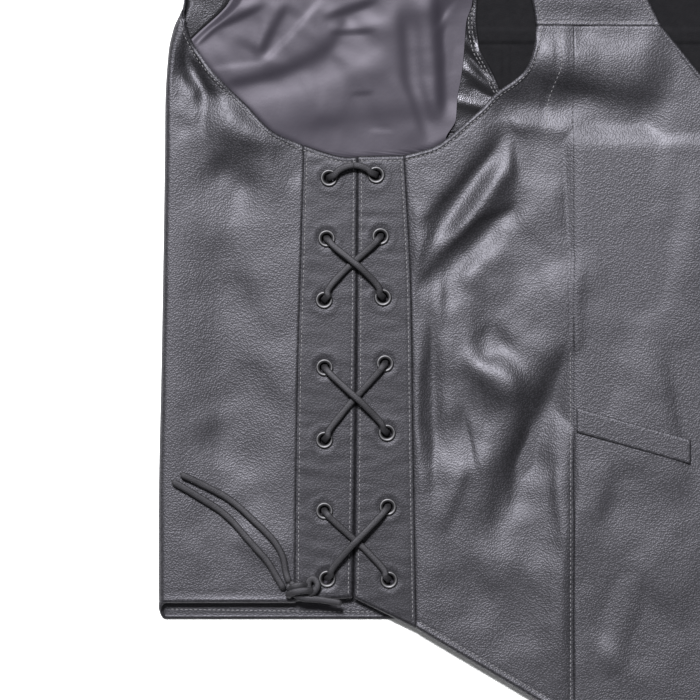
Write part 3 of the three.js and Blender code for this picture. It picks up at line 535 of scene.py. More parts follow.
def hide():
    """Pebbled hide: small round grains of uneven size, drawn flatter in places, with fine pores."""
    material, shader = node_finish("pebbled hide", (0.014, 0.0135, 0.0155), 0.45)
    place = node(material, "ShaderNodeTexCoord").outputs["Object"]
    stray = node(material, "ShaderNodeTexNoise", Vector=place, Scale=260, Detail=2)
    centred = node(material, "ShaderNodeVectorMath", {"operation": "SUBTRACT"},
                   _0=stray.outputs["Color"], _1=(0.5, 0.5, 0.5))
    pushed = node(material, "ShaderNodeVectorMath", {"operation": "MULTIPLY_ADD"},
                  _0=centred.outputs[0], _1=(0.0014, 0.0014, 0.0014), _2=place)
    grains = node(material, "ShaderNodeTexVoronoi", {"feature": "SMOOTH_F1"}, Vector=pushed.outputs[0],
                  Scale=860, Smoothness=0.35, Randomness=1.0)
    small = node(material, "ShaderNodeTexVoronoi", {"feature": "F1"}, Vector=pushed.outputs[0], Scale=1500)
    pores = node(material, "ShaderNodeTexNoise", Vector=place, Scale=2600, Detail=2)
    drawn = node(material, "ShaderNodeTexNoise", Vector=place, Scale=24, Detail=3)
    depth = node(material, "ShaderNodeMapRange", Value=drawn.outputs["Fac"],
                 _1=0.35, _2=0.65, _3=0.55, _4=1.0)
    domes = node(material, "ShaderNodeMapRange", {"interpolation_type": "SMOOTHSTEP"},
                 Value=grains.outputs["Distance"], _1=0.1, _2=0.75, _3=1.0, _4=0.0)
    body = node(material, "ShaderNodeMath", {"operation": "MULTIPLY"},
                _0=domes.outputs[0], _1=depth.outputs[0])
    fine = node(material, "ShaderNodeMath", {"operation": "MULTIPLY_ADD"},
                _0=small.outputs["Distance"], _1=-0.32, _2=body.outputs[0])
    height = node(material, "ShaderNodeMath", {"operation": "MULTIPLY_ADD"},
                  _0=pores.outputs["Fac"], _1=0.14, _2=fine.outputs[0])
    bump = node(material, "ShaderNodeBump", Strength=0.62, Distance=0.00022, Height=height.outputs[0])
    join(material, bump.outputs["Normal"], shader.inputs["Normal"])
    # Painted shade: the hollows between the grains are coloured darker than the grains' domes.
    tone = node(material, "ShaderNodeMix", {"data_type": "RGBA"}, _0=domes.outputs[0],
                _6=(0.003, 0.003, 0.0034, 1), _7=(0.0105, 0.01, 0.012, 1))
    join(material, tone.outputs[2], shader.inputs["Base Color"])
    gloss = node(material, "ShaderNodeMapRange", Value=drawn.outputs["Fac"], _1=0.3, _2=0.7, _3=0.46, _4=0.54)
    join(material, gloss.outputs[0], shader.inputs["Roughness"])
    shader.inputs["Specular IOR Level"].default_value = 0.54
    shader.inputs["Specular Tint"].default_value = (0.9, 0.885, 1.0, 1)
    return material


hide_finish = hide()


def waves(x, y, size, seed, stretch=1.0):
    """Soft uneven waves of about this size, between -1 and 1."""
    flat = [noise.noise(Vector((a / size, b / size / stretch, seed))) for a, b in zip(x.ravel(), y.ravel())]
    return np.array(flat).reshape(x.shape)


def turned(distance, drop, width):
    """How far a surface has sunk at this distance from its turned or sewn-in edge: a quarter round."""
    k = 1 - np.clip(distance / width, 0, 1)
    return drop * (1 - np.sqrt(np.maximum(0, 1 - k * k)))


def stitch_bed(distance, inset, deep=0.22, half=0.9):
    """The shallow trough that a row of topstitches pulls into the leather."""
    return deep * np.exp(-(((distance - inset) / half) ** 2))


def bead(distance, high=0.4, half=0.75):
    """The bead that stands along a turned edge, outside its stitches."""
    return high * np.exp(-(((distance - 1.5) / half) ** 2))


def clothe(piece, thickness, body="root", replaced=None):
    """Gives a laid grid its thickness, sets it on its body and hides the CAD part it takes the place of."""
    bpy.ops.object.select_all(action="DESELECT")
    piece.select_set(True)
    bpy.context.view_layer.objects.active = piece
    shell = piece.modifiers.new("thickness", "SOLIDIFY")
    shell.thickness = thickness * MM
    shell.offset = 0
    bpy.ops.object.modifier_apply(modifier="thickness")
    bpy.ops.object.shade_smooth_by_angle(angle=math.radians(50))
    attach(piece, body)
    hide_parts(replaced)


back_left = by_height(
    (48.3, -224), (51.7, 93), (30.3, 102.3), (13.7, 119), (-3.7, 129), (-8.3, 138.3), (-12.3, 146.3),
    (-19, 159.7), (-21, 177), (-20.5, 190), (-16, 207), (-2, 231.7), (24, 255), (70, 277), (127.7, 290.3),
)
ARMHOLE_BACK = [
    (-136.3, 93), (-157.7, 102.3), (-174, 119), (-190.3, 135), (-203.7, 150.3), (-212.3, 165), (-216.3, 178),
    (-217.2, 190), (-219.5, 200), (-222.2, 210), (-228, 222), (-235, 233.7), (-258.3, 257), (-290.3, 277),
    (-329.7, 290.3),
]
armhole_back = by_height(*ARMHOLE_BACK)
back_top = by_height(*[(x, y) for y, x in (
    (-104.3, 0), (-39, 56.7), (-14, 49), (11, 46.5), (36, 49), (61, 56.7), (127.7, 0))])


def back_right(y):
    return np.where(y < 93, back_seam(y), armhole_back(y))


def wrapped(q, y, side):
    """Where the unrolled body lies: flat on the upper layer, round the roll, and back along the lower one."""
    fold = left_fold(y) if side < 0 else right_fold(y)
    inward = (q - fold) * -side
    turn = np.clip(inward / ROLL, -1, 1) * math.pi / 2
    x_roll = fold - side * (ROLL - ROLL_MID * np.cos(turn))
    z_roll = ROLL + ROLL_MID * np.sin(turn)
    x_low = 2 * fold - q
    x = np.where(inward >= ROLL, q, np.where(inward <= -ROLL, x_low, x_roll))
    z = np.where(inward >= ROLL, upper_z(q, y), np.where(inward <= -ROLL, lower_z(x_low, y), z_roll))
    return x, z


def neck_rise(x):
    return np.interp(x, (-104.3, -39, -14, 11, 36, 61, 127.7), (0, 56.7, 49, 46.5, 49, 56.7, 0))


def back_place(u, v):
    fold = left_fold(v)
    low = 2 * fold - back_left(v) + 0.15
    high = back_right(v) - 0.15
    under = np.maximum(fold - ROLL, low)
    over = np.minimum(fold + ROLL, high)
    q = np.where(u < 1, mix(low, np.minimum(under, high), u), 0)
    q = np.where((u >= 1) & (u < 2), mix(np.minimum(under, high), over, u - 1), q)
    q = np.where(u >= 2, mix(over, np.maximum(high, over), u - 2), q)
    q = np.minimum(q, high)
    x, z = wrapped(q, v, -1)
    on_top = smooth((q - fold + ROLL) / (2 * ROLL))
    hem = on_top * 11 * (1 - smooth((v + 222) / 150))
    y = v + hem + neck_rise(x) * smooth((v - 215) / 75.3)
    return x, y, z


ARMHOLE_BACK_LINE = curve_through(ARMHOLE_BACK[:9], 8)
BACK_SEAM_LINE = [(-142.3, -211), (-141, -76), (-138.3, 24), (-136.3, 93)]
# Slopes and creases of the back's upper layer: x1, y1, x2, y2, half width, climb
BACK_SLOPES = [
    (-221, 184, -215, 154, 5.5, 2.5),
    (-215, 156, -195, 126, 6, 3.0),
    (-225, 148, -215, 122, 5, -1.9),
    (-191, 127, -168, 103, 7, -2.0),
    (-224, 116, -212, 106, 6, 1.5),
    (-206, 94, -160, 66, 16, 2.9),
    (-224, 162, -202, 162, 12, 4.2),
    (-226, 138, -206, 138, 10, -3),
    (-176, 96, -160, 92, 6, 1.2),
    (-160, 88, -146, 66, 6, -0.9),
    (-208, 60, -180, 40, 12, -1.1),
    (-214, 20, -196, -30, 12, 1.1),
    (-178, 10, -160, -30, 10, -1.0),
    (-216, -60, -196, -90, 9, -1.0),
    (-170, -50, -150, -80, 8, 1.0),
    (-204, -110, -170, -130, 12, -1.4),
    (-222, -160, -200, -185, 8, -0.9),
    (-184, -170, -156, -190, 8, 0.9),
]


def back_lift(u, v, x, y):
    top = smooth(u - 1.5)
    armhole = away(ARMHOLE_BACK_LINE, x, y)
    seam = back_seam(y) - x
    hem = v + 222
    sunk = top * turned(np.where(v < 96, seam, 99), 1.3, 1.8)
    sunk += top * np.where(v > 88, turned(armhole, 0.9, 1.5) - bead(armhole) + stitch_bed(armhole, 3), 0)
    sunk += turned(hem, 0.9, 1.6) - top * bead(hem, 0.35) + stitch_bed(hem, 5.5, 0.25)
    creases = climb(BACK_SLOPES, x, y) * top * smooth((x - left_fold(y) + 1) / 6)
    soft = 0.55 * waves(x, y, 46, 1.5) + 0.2 * waves(x, y, 15, 8.2)
    return top * (creases + soft * smooth((x - left_fold(y) - 3) / 18)) - sunk


back_columns = np.concatenate([
    np.linspace(0, 1, 52), 1 + np.linspace(0, 1, 17)[1:], 2 + spread(92, 2.1, start=False)[1:],
])
back_rows = np.concatenate([
    -222 + spread(312, 2.7, end=False) * 312, np.arange(92, 192, 1.9), np.linspace(193, 290.3, 30),
])
back = lay("back_leather", back_columns, back_rows, back_place, back_lift, hide_finish)
clothe(back, HIDE_THICK, replaced="back_panel")

# The satin lining of the back, which shows in the right armhole: grey with a mauve cast, smooth and slippery.
# It is cut a little larger than the leather and lies in soft folds.
LINING_LEVEL = 2.8
LOOSE = 2.2
satin_left = by_height(
    (-225, -216), (-220, 156), (-210.5, 166), (-186, 190.3), (-178, 210), (-164, 234), (-141, 257),
    (-108, 277), (-76, 288),
)


def satin():
    """Satin: a tight smooth weave, with fine diagonal threads and slubs in its surface."""
    material, shader = node_finish("mauve grey satin", (0.016, 0.0147, 0.02), 0.49)
    place = node(material, "ShaderNodeTexCoord").outputs["Object"]
    cloud = node(material, "ShaderNodeTexNoise", Vector=place, Scale=30, Detail=3)
    tone = node(material, "ShaderNodeMix", {"data_type": "RGBA"}, _0=cloud.outputs["Fac"],
                _6=(0.014, 0.0125, 0.0172, 1), _7=(0.019, 0.0172, 0.0232, 1))
    join(material, tone.outputs[2], shader.inputs["Base Color"])
    threads = node(material, "ShaderNodeTexWave", {"bands_direction": "DIAGONAL"}, Vector=place, Scale=900,
                   Distortion=1.2, Detail=1)
    slubs = node(material, "ShaderNodeTexNoise", Vector=place, Scale=420, Detail=2)
    height = node(material, "ShaderNodeMath", {"operation": "MULTIPLY_ADD"},
                  _0=threads.outputs["Fac"], _1=0.35, _2=slubs.outputs["Fac"])
    bump = node(material, "ShaderNodeBump", Strength=0.16, Distance=0.0002, Height=height.outputs[0])
    join(material, bump.outputs["Normal"], shader.inputs["Normal"])
    shader.inputs["Specular IOR Level"].default_value = 0.3
    shader.inputs["Specular Tint"].default_value = (0.92, 0.86, 1.0, 1)
    return material


satin_finish = satin()
# Folds of the satin where it shows: x1, y1, x2, y2, half width, height
SATIN_FOLDS = [
    (-186, 206, -110, 140, 34, 1.8),
    (-104, 246, -48, 186, 30, 1.6),
]
# Faces of the satin's folds: x1, y1, x2, y2, half width, climb. Below zero a face looks to the upper left.
SATIN_SLOPES = [
    (-178, 122, -139, 131, 12, -1.4),
    (-139, 131, -108, 143, 13, -1.7),
    (-108, 143, -86, 158, 10, -1.4),
    (-186, 135, -162, 140, 4, 1.4),
    (-162, 140, -139, 148, 5, 1.9),
    (-139, 148, -119, 160, 6, 1.8),
    (-119, 160, -109, 180, 6, 1.5),
    (-126, 190, -146, 167, 2.6, -0.6),
    (-146, 167, -164, 149, 2.6, -0.6),
    (-164, 149, -196, 145, 2.6, -0.4),
    (-149, 186, -158, 170, 4, 1.4),
    (-158, 170, -165, 156, 3.4, 1.4),
    (-164, 177, -170, 154, 3.5, -0.5),
    (-199, 154, -176, 174, 10, -0.9),
    (-208, 162, -196, 172, 2.4, 1.1),
    (-196, 172, -167, 185, 2.4, 1.1),
    (-189, 184, -166, 192, 3, -0.4),
    (-90, 190, -119, 180, 3, 1.5),
    (-116, 174, -82, 178, 5, -0.8),
    (-116, 169, -92, 170, 1.8, 0.7),
    (-152, 104, -72, 116, 9, 0.9),
    (-72, 180, -69, 137, 5.5, 1.8),
    (-69, 137, -56, 98, 5, 1.5),
    (-61, 185, -58, 137, 4.5, -0.7),
    (-58, 137, -51, 110, 4, -0.7),
    (-48, 192, -46, 150, 5.5, 3.5),
    (-46, 150, -45, 117, 4.4, 2.7),
    (-48, 172, -36, 189, 2, -0.5),
    (-92, 104, -78, 103, 1.4, -0.2),
    (-104, 128, -91, 129, 1.4, 0.3),
    (-128, 112, -112, 108, 6, 0.4),
]
# The armhole's lower edge over the strips, and along the side front
STRIP_TOPS = [(-136.3, 93), (-123, 88.4), (-110.3, 85.2), (-100.8, 85.3), (-69.7, 86.3)]
ARMHOLE_FRONT = [
    (-69.7, 86.3), (-50.3, 91.7), (-39, 99), (-27.7, 109), (-17, 118.3), (-8.3, 127.7), (3.7, 136.3),
    (11, 143.7), (15, 151), (17.7, 160.3), (19, 173.5),
]
opening = np.array([*ARMHOLE_BACK[8:0:-1], *STRIP_TOPS, *ARMHOLE_FRONT[1:]]).T


def in_window(x, y):
    """1 where the satin shows in the right armhole, fading to 0 under what lies on it."""
    low = smooth((y - np.interp(x, *opening) + 9) / 12)
    under = 190 + 0.62 * (16 - x)
    return low * smooth((x - satin_left(y)) / 9) * smooth((under - y + 24) / 24)


satin_right = by_height(
    (48, -216), (48, 84), (-20, 90), (-42, 97), (-35, 111), (-34, 125), (-32, 136), (-30, 150), (-29, 164),
    (-28, 176), (-24, 190), (-28, 207), (-20, 231.7), (4, 255), (48, 277), (104, 290),
)


def satin_edge(y):
    return satin_right(y)


def satin_place(u, v):
    x = mix(satin_left(v), satin_edge(v), u)
    y = v + neck_rise(x) * 0.95 * smooth((v - 215) / 75.3)
    loose = in_window(x, y) * (LOOSE + swell(SATIN_FOLDS, x, y))
    return x, y, lower_z(x, y) - LOWER_LEVEL + LINING_LEVEL + loose


def satin_lift(u, v, x, y):
    shown = in_window(x, y)
    creases = climb(SATIN_SLOPES, x, y)
    soft = 0.5 * waves(x, y, 30, 4.4) + 0.1 * waves(x, y, 11, 2.2)
    return np.maximum(shown * (creases + soft), 0.2 - shown * (LOOSE + swell(SATIN_FOLDS, x, y)))


satin_rows = np.concatenate([np.linspace(-204, 80, 30), np.arange(84, 214, 1.5), np.linspace(216, 288, 26)])
lining = lay("back_satin", np.linspace(0, 1, 130), satin_rows, satin_place, satin_lift, satin_finish)
clothe(lining, 0.7, replaced="back_lining")

# Facings of smooth black leather inside the armholes, and down the inside of the left front
FACING_THICK = 0.9


def smooth_hide():
    """Thin smooth leather with a soft gloss and fine wrinkles."""
    material, shader = node_finish("smooth facing leather", (0.006, 0.006, 0.0065), 0.3)
    place = node(material, "ShaderNodeTexCoord").outputs["Object"]
    grain = node(material, "ShaderNodeTexVoronoi", {"feature": "F1"}, Vector=place, Scale=1300)
    wrinkles = node(material, "ShaderNodeTexNoise", Vector=place, Scale=180, Detail=4, Roughness=0.6)
    height = node(material, "ShaderNodeMath", {"operation": "MULTIPLY_ADD"},
                  _0=wrinkles.outputs["Fac"], _1=1.4, _2=grain.outputs["Distance"])
    bump = node(material, "ShaderNodeBump", Strength=0.3, Distance=0.0003, Height=height.outputs[0])
    join(material, bump.outputs["Normal"], shader.inputs["Normal"])
    # Painted shade: the wrinkles' hollows are coloured darker than their crests.
    tone = node(material, "ShaderNodeMix", {"data_type": "RGBA"}, _0=wrinkles.outputs["Fac"],
                _6=(0.003, 0.003, 0.0035, 1), _7=(0.008, 0.0078, 0.0086, 1))
    join(material, tone.outputs[2], shader.inputs["Base Color"])
    shader.inputs["Specular IOR Level"].default_value = 0.3
    shader.inputs["Specular Tint"].default_value = (0.9, 0.885, 1.0, 1)
    return material


facing_finish = smooth_hide()


def facing_place(outside, inside):
    def place(u, v):
        x = mix(outside(v), inside(v), u)
        y = v + neck_rise(x) * 0.95 * smooth((v - 215) / 75.3)
        return x, y, lower_z(x, y) - LOWER_LEVEL + LINING_LEVEL

    return place


def right_outside(y):
    fold = left_fold(y)
    return np.where(y < 222, fold + ROLL + 1.6, 2 * fold - armhole_back(y) + 0.8)


right_facing = lay(
    "right_armhole_facing_leather", np.linspace(0, 1, 14), np.linspace(166, 288, 60),
    facing_place(right_outside, lambda y: satin_left(y) - 0.9),
    lambda u, v, x, y: 0.3 * waves(x, y, 14, 3.3) - turned((1 - u) * 22, 0.4, 1.5), facing_finish,
)
clothe(right_facing, FACING_THICK, replaced="right_armhole_facing")
# Wrinkles of the left armhole's facing, where it shows: x1, y1, x2, y2, half width, height
FACING_WRINKLES = [
    (-30, 168, -16, 150, 3, 0.9),
    (-30, 158, -14, 140, 2.6, -0.9),
    (-30, 146, -12, 132, 3, 1),
    (-28, 180, -22, 160, 2.4, -0.8),
    (-26, 134, -8, 124, 2.6, -0.9),
    (-36, 124, -14, 118, 3, 0.9),
]


def left_facing_lift(u, v, x, y):
    edge = (1 - u) * (back_left(v) - satin_edge(v))
    return swell(FACING_WRINKLES, x, y) + 0.3 * waves(x, y, 9, 6.1) - turned(edge, 0.5, 1.6) - stitch_bed(edge, 2.6)


left_facing = lay(
    "left_armhole_facing_leather", spread(23, 1.6, start=False), np.linspace(103, 266, 90),
    facing_place(lambda y: satin_edge(y) + 0.3, lambda y: back_left(y) - 0.1), left_facing_lift, facing_finish,
)
clothe(left_facing, FACING_THICK, replaced="left_armhole_facing")

# The right side's two lacing strips: smoother leather, edge-turned and topstitched, seven eyelets in each.
# They are sewn to the back and to the side front, and meet at the slit.
EYELET_HOLE = 3.65
STRIP_HOLE = 4.5


def edge_curve(*points):
    """A soft curve through plan points, read by its length from 0 to 1."""
    line = curve_through(points)
    along = np.concatenate([[0], np.cumsum(np.hypot(*np.diff(line, axis=0).T))])
    along /= along[-1]
    return lambda t: (np.interp(t, along, line[:, 0]), np.interp(t, along, line[:, 1]))


def straight(x1, y1, x2, y2):
    return lambda t: (mix(x1, x2, t), mix(y1, y2, t))


def seam_edge(seam, low, high):
    return lambda t: (seam(mix(low, high, t)), mix(low, high, t))


def patch(hem, top, left, right):
    """A four-sided piece between its plan edges, each read from 0 to 1."""

    def place(u, v):
        corners = [hem(0), hem(1), top(0), top(1)]
        x, y = (
            mix(hem(u)[k], top(u)[k], v) + mix(left(v)[k], right(v)[k], u)
            - mix(mix(corners[0][k], corners[1][k], u), mix(corners[2][k], corners[3][k], u), v)
            for k in (0, 1)
        )
        return x, y

    return place


def strip_hide():
    """The hide of the strips: the same pebble, drawn flatter and less glossy."""
    material = hide_finish.copy()
    material.name = "strip hide"
    for part in material.node_tree.nodes:
        if part.type == "BUMP":
            part.inputs["Strength"].default_value = 0.42
    material.node_tree.nodes["Principled BSDF"].inputs["Specular IOR Level"].default_value = 0.37
    return material


strip_finish = strip_hide()


def drill(piece, holes, z):
    """Cuts an eyelet's hole through a strip at each place."""
    bpy.ops.object.select_all(action="DESELECT")
    cutters = []
    for x, y in holes:
        bpy.ops.mesh.primitive_cylinder_add(
            vertices=24, radius=STRIP_HOLE * MM, depth=8 * MM, location=(x * MM, y * MM, z * MM))
        cutters.append(bpy.context.object)
    for cutter in cutters:
        cutter.select_set(True)
    bpy.context.view_layer.objects.active = cutters[0]
    bpy.ops.object.join()
    cutter = bpy.context.object
    cut = piece.modifiers.new("holes", "BOOLEAN")
    cut.operation = "DIFFERENCE"
    cut.object = cutter
    cut.solver = "EXACT"
    bpy.ops.object.select_all(action="DESELECT")
    bpy.context.view_layer.objects.active = piece
    piece.select_set(True)
    bpy.ops.object.modifier_apply(modifier="holes")
    bpy.data.objects.remove(cutter, do_unlink=True)
    bpy.ops.object.shade_smooth_by_angle(angle=math.radians(50))


def strip_lift(holes, seam_at_left, seed):
    def lift(u, v, x, y):
        seam_side = (u if seam_at_left else 1 - u) * 38
        slit_side = (1 - u if seam_at_left else u) * 38
        top = (1 - v) * 295
        hem = v * 295
        ring = np.full(x.shape, 99.0)
        for hole in holes:
            ring = np.minimum(ring, np.hypot(x - hole[0], y - hole[1]))
        sunk = turned(seam_side, 0.7, 1.1) + stitch_bed(seam_side, 2.1)
        sunk += turned(slit_side, 1.2, 1.9) + stitch_bed(slit_side, 2.4, 0.16)
        sunk += turned(top, 1.1, 1.8) + stitch_bed(top, 2.8) + turned(hem, 1.1, 1.8)
        pull = 0.5 * np.exp(-(((ring - 5.8) / 1.5) ** 2)) - 0.32 * np.exp(-(((ring - 8.4) / 1.6) ** 2))
        across_strip = 0.26 * waves(x, y, 16, seed, stretch=0.3) + 0.3 * waves(x, y, 34, seed + 2)
        return across_strip * smooth((ring - 6.5) / 4) - pull - sunk

    return lift


slit_back = lambda t: (slit(mix(-207.8, 85.3, t)) - mix(1.6, 0.5, t) / 2, mix(-207.8, 85.3, t))
slit_front = lambda t: (slit(mix(-207.8, 85.7, t)) + mix(1.6, 0.5, t) / 2, mix(-207.8, 85.7, t))
back_strip_edges = patch(
    straight(-142.3, -210, -104.5, -207.8),
    edge_curve((-136.3, 93), (-123, 88.4), (-110.3, 85.2), (-100.8, 85.3)),
    seam_edge(back_seam, -210, 93), slit_back,
)
front_strip_edges = patch(
    straight(-102.9, -207.8, -61.7, -227.9), straight(-100.5, 85.7, -69.7, 86.3), slit_front,
    seam_edge(front_seam, -227.9, 86.3),
)


def on_upper(edges, gap=0.0):
    def place(u, v):
        x, y = edges(mix(gap, 1 - gap, u), v)
        return x, y, upper_z(x, y)

    return place


strip_columns = spread(38, 1.7)
strip_rows = spread(295, 2.3)
back_strip = lay("right_back_strip_leather", strip_columns, strip_rows, on_upper(back_strip_edges, 0.003),
                 strip_lift(backs, True, 3.7), strip_finish)
clothe(back_strip, HIDE_THICK, replaced="right_back_strip")
drill(back_strip, backs, UPPER_LEVEL)
front_strip = lay("right_front_strip_leather", strip_columns, strip_rows, on_upper(front_strip_edges, 0.003),
                  strip_lift(fronts, False, 9.1), strip_finish)
clothe(front_strip, HIDE_THICK, replaced="right_front_strip")
drill(front_strip, fronts, UPPER_LEVEL)

# The right front's side piece, from the lacing strip's seam to the long seam of the front.
# It carries most of the soft diagonal folds, and a short dart seam runs down it from the yoke.
armhole_front = edge_curve(*ARMHOLE_FRONT)
ARMHOLE_SHOULDER = [(19, 173.5), (16.3, 190.3), (7.7, 220.3), (-12.3, 249), (-49, 275), (-104.3, 290.3)]
ARMHOLE_FRONT_LINE = curve_through(ARMHOLE_FRONT, 6)
ARMHOLE_SHOULDER_LINE = curve_through(ARMHOLE_SHOULDER, 6)
DART = [(31.7, 170), (33, 149), (32.3, 144), (26.3, 129), (23.7, 118), (23, 97)]
DART_LINE = curve_through(DART, 6)
princess = edge_curve((43.7, -290.4), (43.7, 173))
SIDE_TOP = 0.86


def side_top(t):
    x, y = armhole_front(t / SIDE_TOP)
    past = (t - SIDE_TOP) / (1 - SIDE_TOP)
    return np.where(t < SIDE_TOP, x, mix(19, 43.7, past)), np.where(t < SIDE_TOP, y, 173.25)


side_edges = patch(straight(-61.7, -227.9, 43.7, -290.4), side_top, seam_edge(front_seam, -227.9, 86.3), princess)
# Least height of the upper layer's middle over the lower layer's
SATIN_CLEARANCE = 3.4
# Slopes and creases of the side front, then of the centre front: x1, y1, x2, y2, half width, climb
FRONT_SLOPES = [
    (-8, 96, -40, 60, 4.6, 1.3),
    (-40, 62, -58, 40, 4.6, 1.2),
    (-48, 44, -62, 10, 4, 1.2),
    (4, 54, -18, 44, 3.6, 1.3),
    (-18, 46, -40, 24, 3.6, 1.4),
    (-38, 28, -60, 2, 6, 1.8),
    (-3, 30, -30, 9, 7, -1.3),
    (-30, 10, -36, -15, 5, -0.8),
    (-43, 6, -45, -35, 3.4, 1.0),
    (-55, 2, -56, -40, 4, -0.8),
    (-59, -50, -59, -116, 3.2, 1.2),
    (-10, -24, 2, -38, 6, 1.0),
    (-22, -52, 2, -48, 7, -2.0),
    (-21, -62, -17, -96, 3, 0.8),
    (-28, -86, -20, -123, 1.6, -0.7),
    (36, -42, 19, -79, 12, 3.2),
    (20, -76, -1, -116, 9, 2.3),
    (0, -112, 1, -152, 7, 2.1),
    (41, -86, 30, -134, 6, -1.3),
    (30, -132, 36, -178, 6, -1.2),
    (26, -128, 24, -161, 4, 0.5),
    (-28, -124, -41, -161, 5, 1.2),
    (-52, -96, -38, -124, 7, -1.2),
    (-44, -170, -30, -220, 8, 0.7),
    (10, -190, 20, -240, 9, -0.8),
    (-20, -185, -6, -215, 8, 0.8),
    (40, 98, 38, 36, 6, 1.2),
    (2, 99, 4, 71, 3, 0.9),
    (-5, 119, 6, 101, 3, 1.0),
    (-8, 127, 50, 130, 13, 7.2),
    (18, 160, 54, 161, 8, -2.2),
    (-10, 111, 50, 103, 7, -1.6),
    (10, 70, 34, 66, 9, -0.8),
    (14, 20, 30, -16, 8, -0.8),
    (6, 40, 34, 20, 7, 0.8),
    (-20, -56, 8, -56, 14, -2.4),
    (-36, -106, -10, -106, 14, -1.7),
    (34, -150, 46, -150, 16, -1.2),
    (46, 6, 48, -72, 7, 1.8),
    (60, 20, 84, -24, 9, -1.3),
    (50, 130, 100, 126, 12, 4.4),
    (52, 104, 96, 96, 7, -1.3),
    (50, 160, 90, 158, 8, -1.6),
    (70, -120, 60, -160, 8, 1.3),
    (104, -50, 122, -130, 10, 2.1),
    (56, -230, 90, -260, 8, -1.2),
    (120, 60, 108, 0, 9, -1.3),
    (80, -190, 110, -220, 10, 1.3),
]


def front_relief(x, y):
    """The creases and soft waves that both pieces of the right front share across their seam."""
    return climb(FRONT_SLOPES, x, y) + 0.7 * waves(x, y, 42, 7.5) + 0.22 * waves(x, y, 14, 1.2)


def clear_below(lift, x, y):
    """Keeps a lift of the upper layer from sinking into the satin that lies on the lower one."""
    return np.maximum(lift, lower_z(x, y) + SATIN_CLEARANCE - upper_z(x, y))



def front_lift(u, v, x, y):
    left, right = u * 105, 43.7 - x
    hem_line = [(-61.7, -227.9), (43.7, -290.4)]
    hem = away(hem_line, x, y)
    armhole = np.where(v > 0.7, away(ARMHOLE_FRONT_LINE, x, y), 99)
    yoke = np.where(x > 17, 173.25 - y, 99)
    dart = away(DART_LINE, x, y)
    fade = smooth((y - 95) / 30)
    pressed = mix(1, 0.3, smooth((y + 50) / 40))
    sunk = turned(left, 1.3, 1.8) + pressed * (turned(right, 1.2, 1.7) + stitch_bed(right, 2.4))
    sunk += turned(hem, 0.9, 1.6) - bead(hem) + stitch_bed(hem, 4.2) + turned(armhole, 0.9, 1.5) - bead(armhole)
    sunk += stitch_bed(armhole, 3) + turned(yoke, 1.2, 1.6) + fade * (0.8 * np.exp(-((dart / 0.8) ** 2)) + stitch_bed(dart, 2.2, 0.2))
    return clear_below(front_relief(x, y) * smooth(left / 5) - sunk, x, y)


side_front = lay("right_side_front_leather", spread(105, 1.45), spread(440, 2.1),
                 on_upper(side_edges, 0.0012), front_lift, hide_finish)
clothe(side_front, HIDE_THICK, replaced="right_side_front")

# The right front's centre piece, from the long seam to the front edge, and the yoke above it up to the
# shoulder. The yoke's lower edge is turned over the two pieces below it and topstitched.
NECK_LOW = [(139, 127), (121, 149), (101.7, 173)]
NECK_RIGHT = [(101.7, 173), (93, 190.3), (75.7, 227), (47.7, 263.7), (7.7, 309), (-39, 347)]
centre_front = edge_curve((139, -347), (139, 127))
neck_low = edge_curve(*NECK_LOW)
STRAIGHT = 0.9


def centre_right(t):
    below = centre_front(t / STRAIGHT)
    above = neck_low((t - STRAIGHT) / (1 - STRAIGHT))
    return tuple(np.where(t < STRAIGHT, below[k], above[k]) for k in (0, 1))


centre_edges = patch(straight(43.7, -290.4, 139, -347), straight(43.7, 173.25, 101.7, 173), princess, centre_right)


def centre_lift(u, v, x, y):
    left, right = (x - 43.7), (1 - u) * 95
    hem = away([(43.7, -290.4), (139, -347)], x, y)
    yoke = 173.1 - y
    pressed = mix(1, 0.3, smooth((y + 50) / 40))
    sunk = pressed * turned(left, 1.2, 1.7) + turned(right, 1.0, 2.0) + stitch_bed(right, 4.2)
    sunk += turned(hem, 1.0, 2.0) + stitch_bed(hem, 4.2) + turned(yoke, 1.2, 1.6)
    return clear_below(front_relief(x, y) * smooth(right / 5) - sunk, x, y)


centre = lay("right_centre_front_leather", spread(95, 2.2), spread(490, 3.2),
             on_upper(centre_edges, 0.0012), centre_lift, hide_finish)
clothe(centre, HIDE_THICK, replaced="right_centre_front")

yoke_edges = patch(straight(19, 173.5, 101.7, 173), straight(-104.3, 290.3, -39, 347),
                   edge_curve(*ARMHOLE_SHOULDER), edge_curve(*NECK_RIGHT))
YOKE_SLOPES = [
    (20, 186, 90, 182, 8, 1.0),
    (18, 220, 66, 206, 10, -1.0),
    (-10, 262, 40, 240, 9, 1.0),
]


def yoke_lift(u, v, x, y):
    armhole = away(ARMHOLE_SHOULDER_LINE, x, y)
    neck = (1 - u) * 78
    hem = v * 190
    sunk = turned(armhole, 1.0, 1.8) + stitch_bed(armhole, 2.7) + turned(neck, 1.0, 1.8) + stitch_bed(neck, 2.7)
    sunk += turned(hem, 0.9, 1.4) - 0.5 * np.exp(-((hem / 3.5) ** 2)) + stitch_bed(hem, 2.4) + turned((1 - v) * 190, 0.8, 1.6)
    return climb(YOKE_SLOPES, x, y) + 0.6 * waves(x, y, 40, 2.5) + 0.2 * waves(x, y, 13, 4.2) - sunk


yoke = lay("right_yoke_leather", spread(80, 2.2), spread(190, 2.4), on_upper(yoke_edges), yoke_lift, hide_finish)
clothe(yoke, HIDE_THICK, replaced="right_yoke")

# The left front: its centre piece and yoke wrap round the right-hand fold, and its side piece lies
# underneath with its inside up. What the picture's edge hides is the right front's mirror, plain.
NECK_LEFT_LOW = [(139.8, 127), (149, 149), (153, 173)]
NECK_LEFT = [(153, 173), (149, 200), (131, 235), (104, 268), (78, 306), (61, 347)]
neck_left_low = edge_curve(*NECK_LEFT_LOW)
neck_left = edge_curve(*NECK_LEFT)


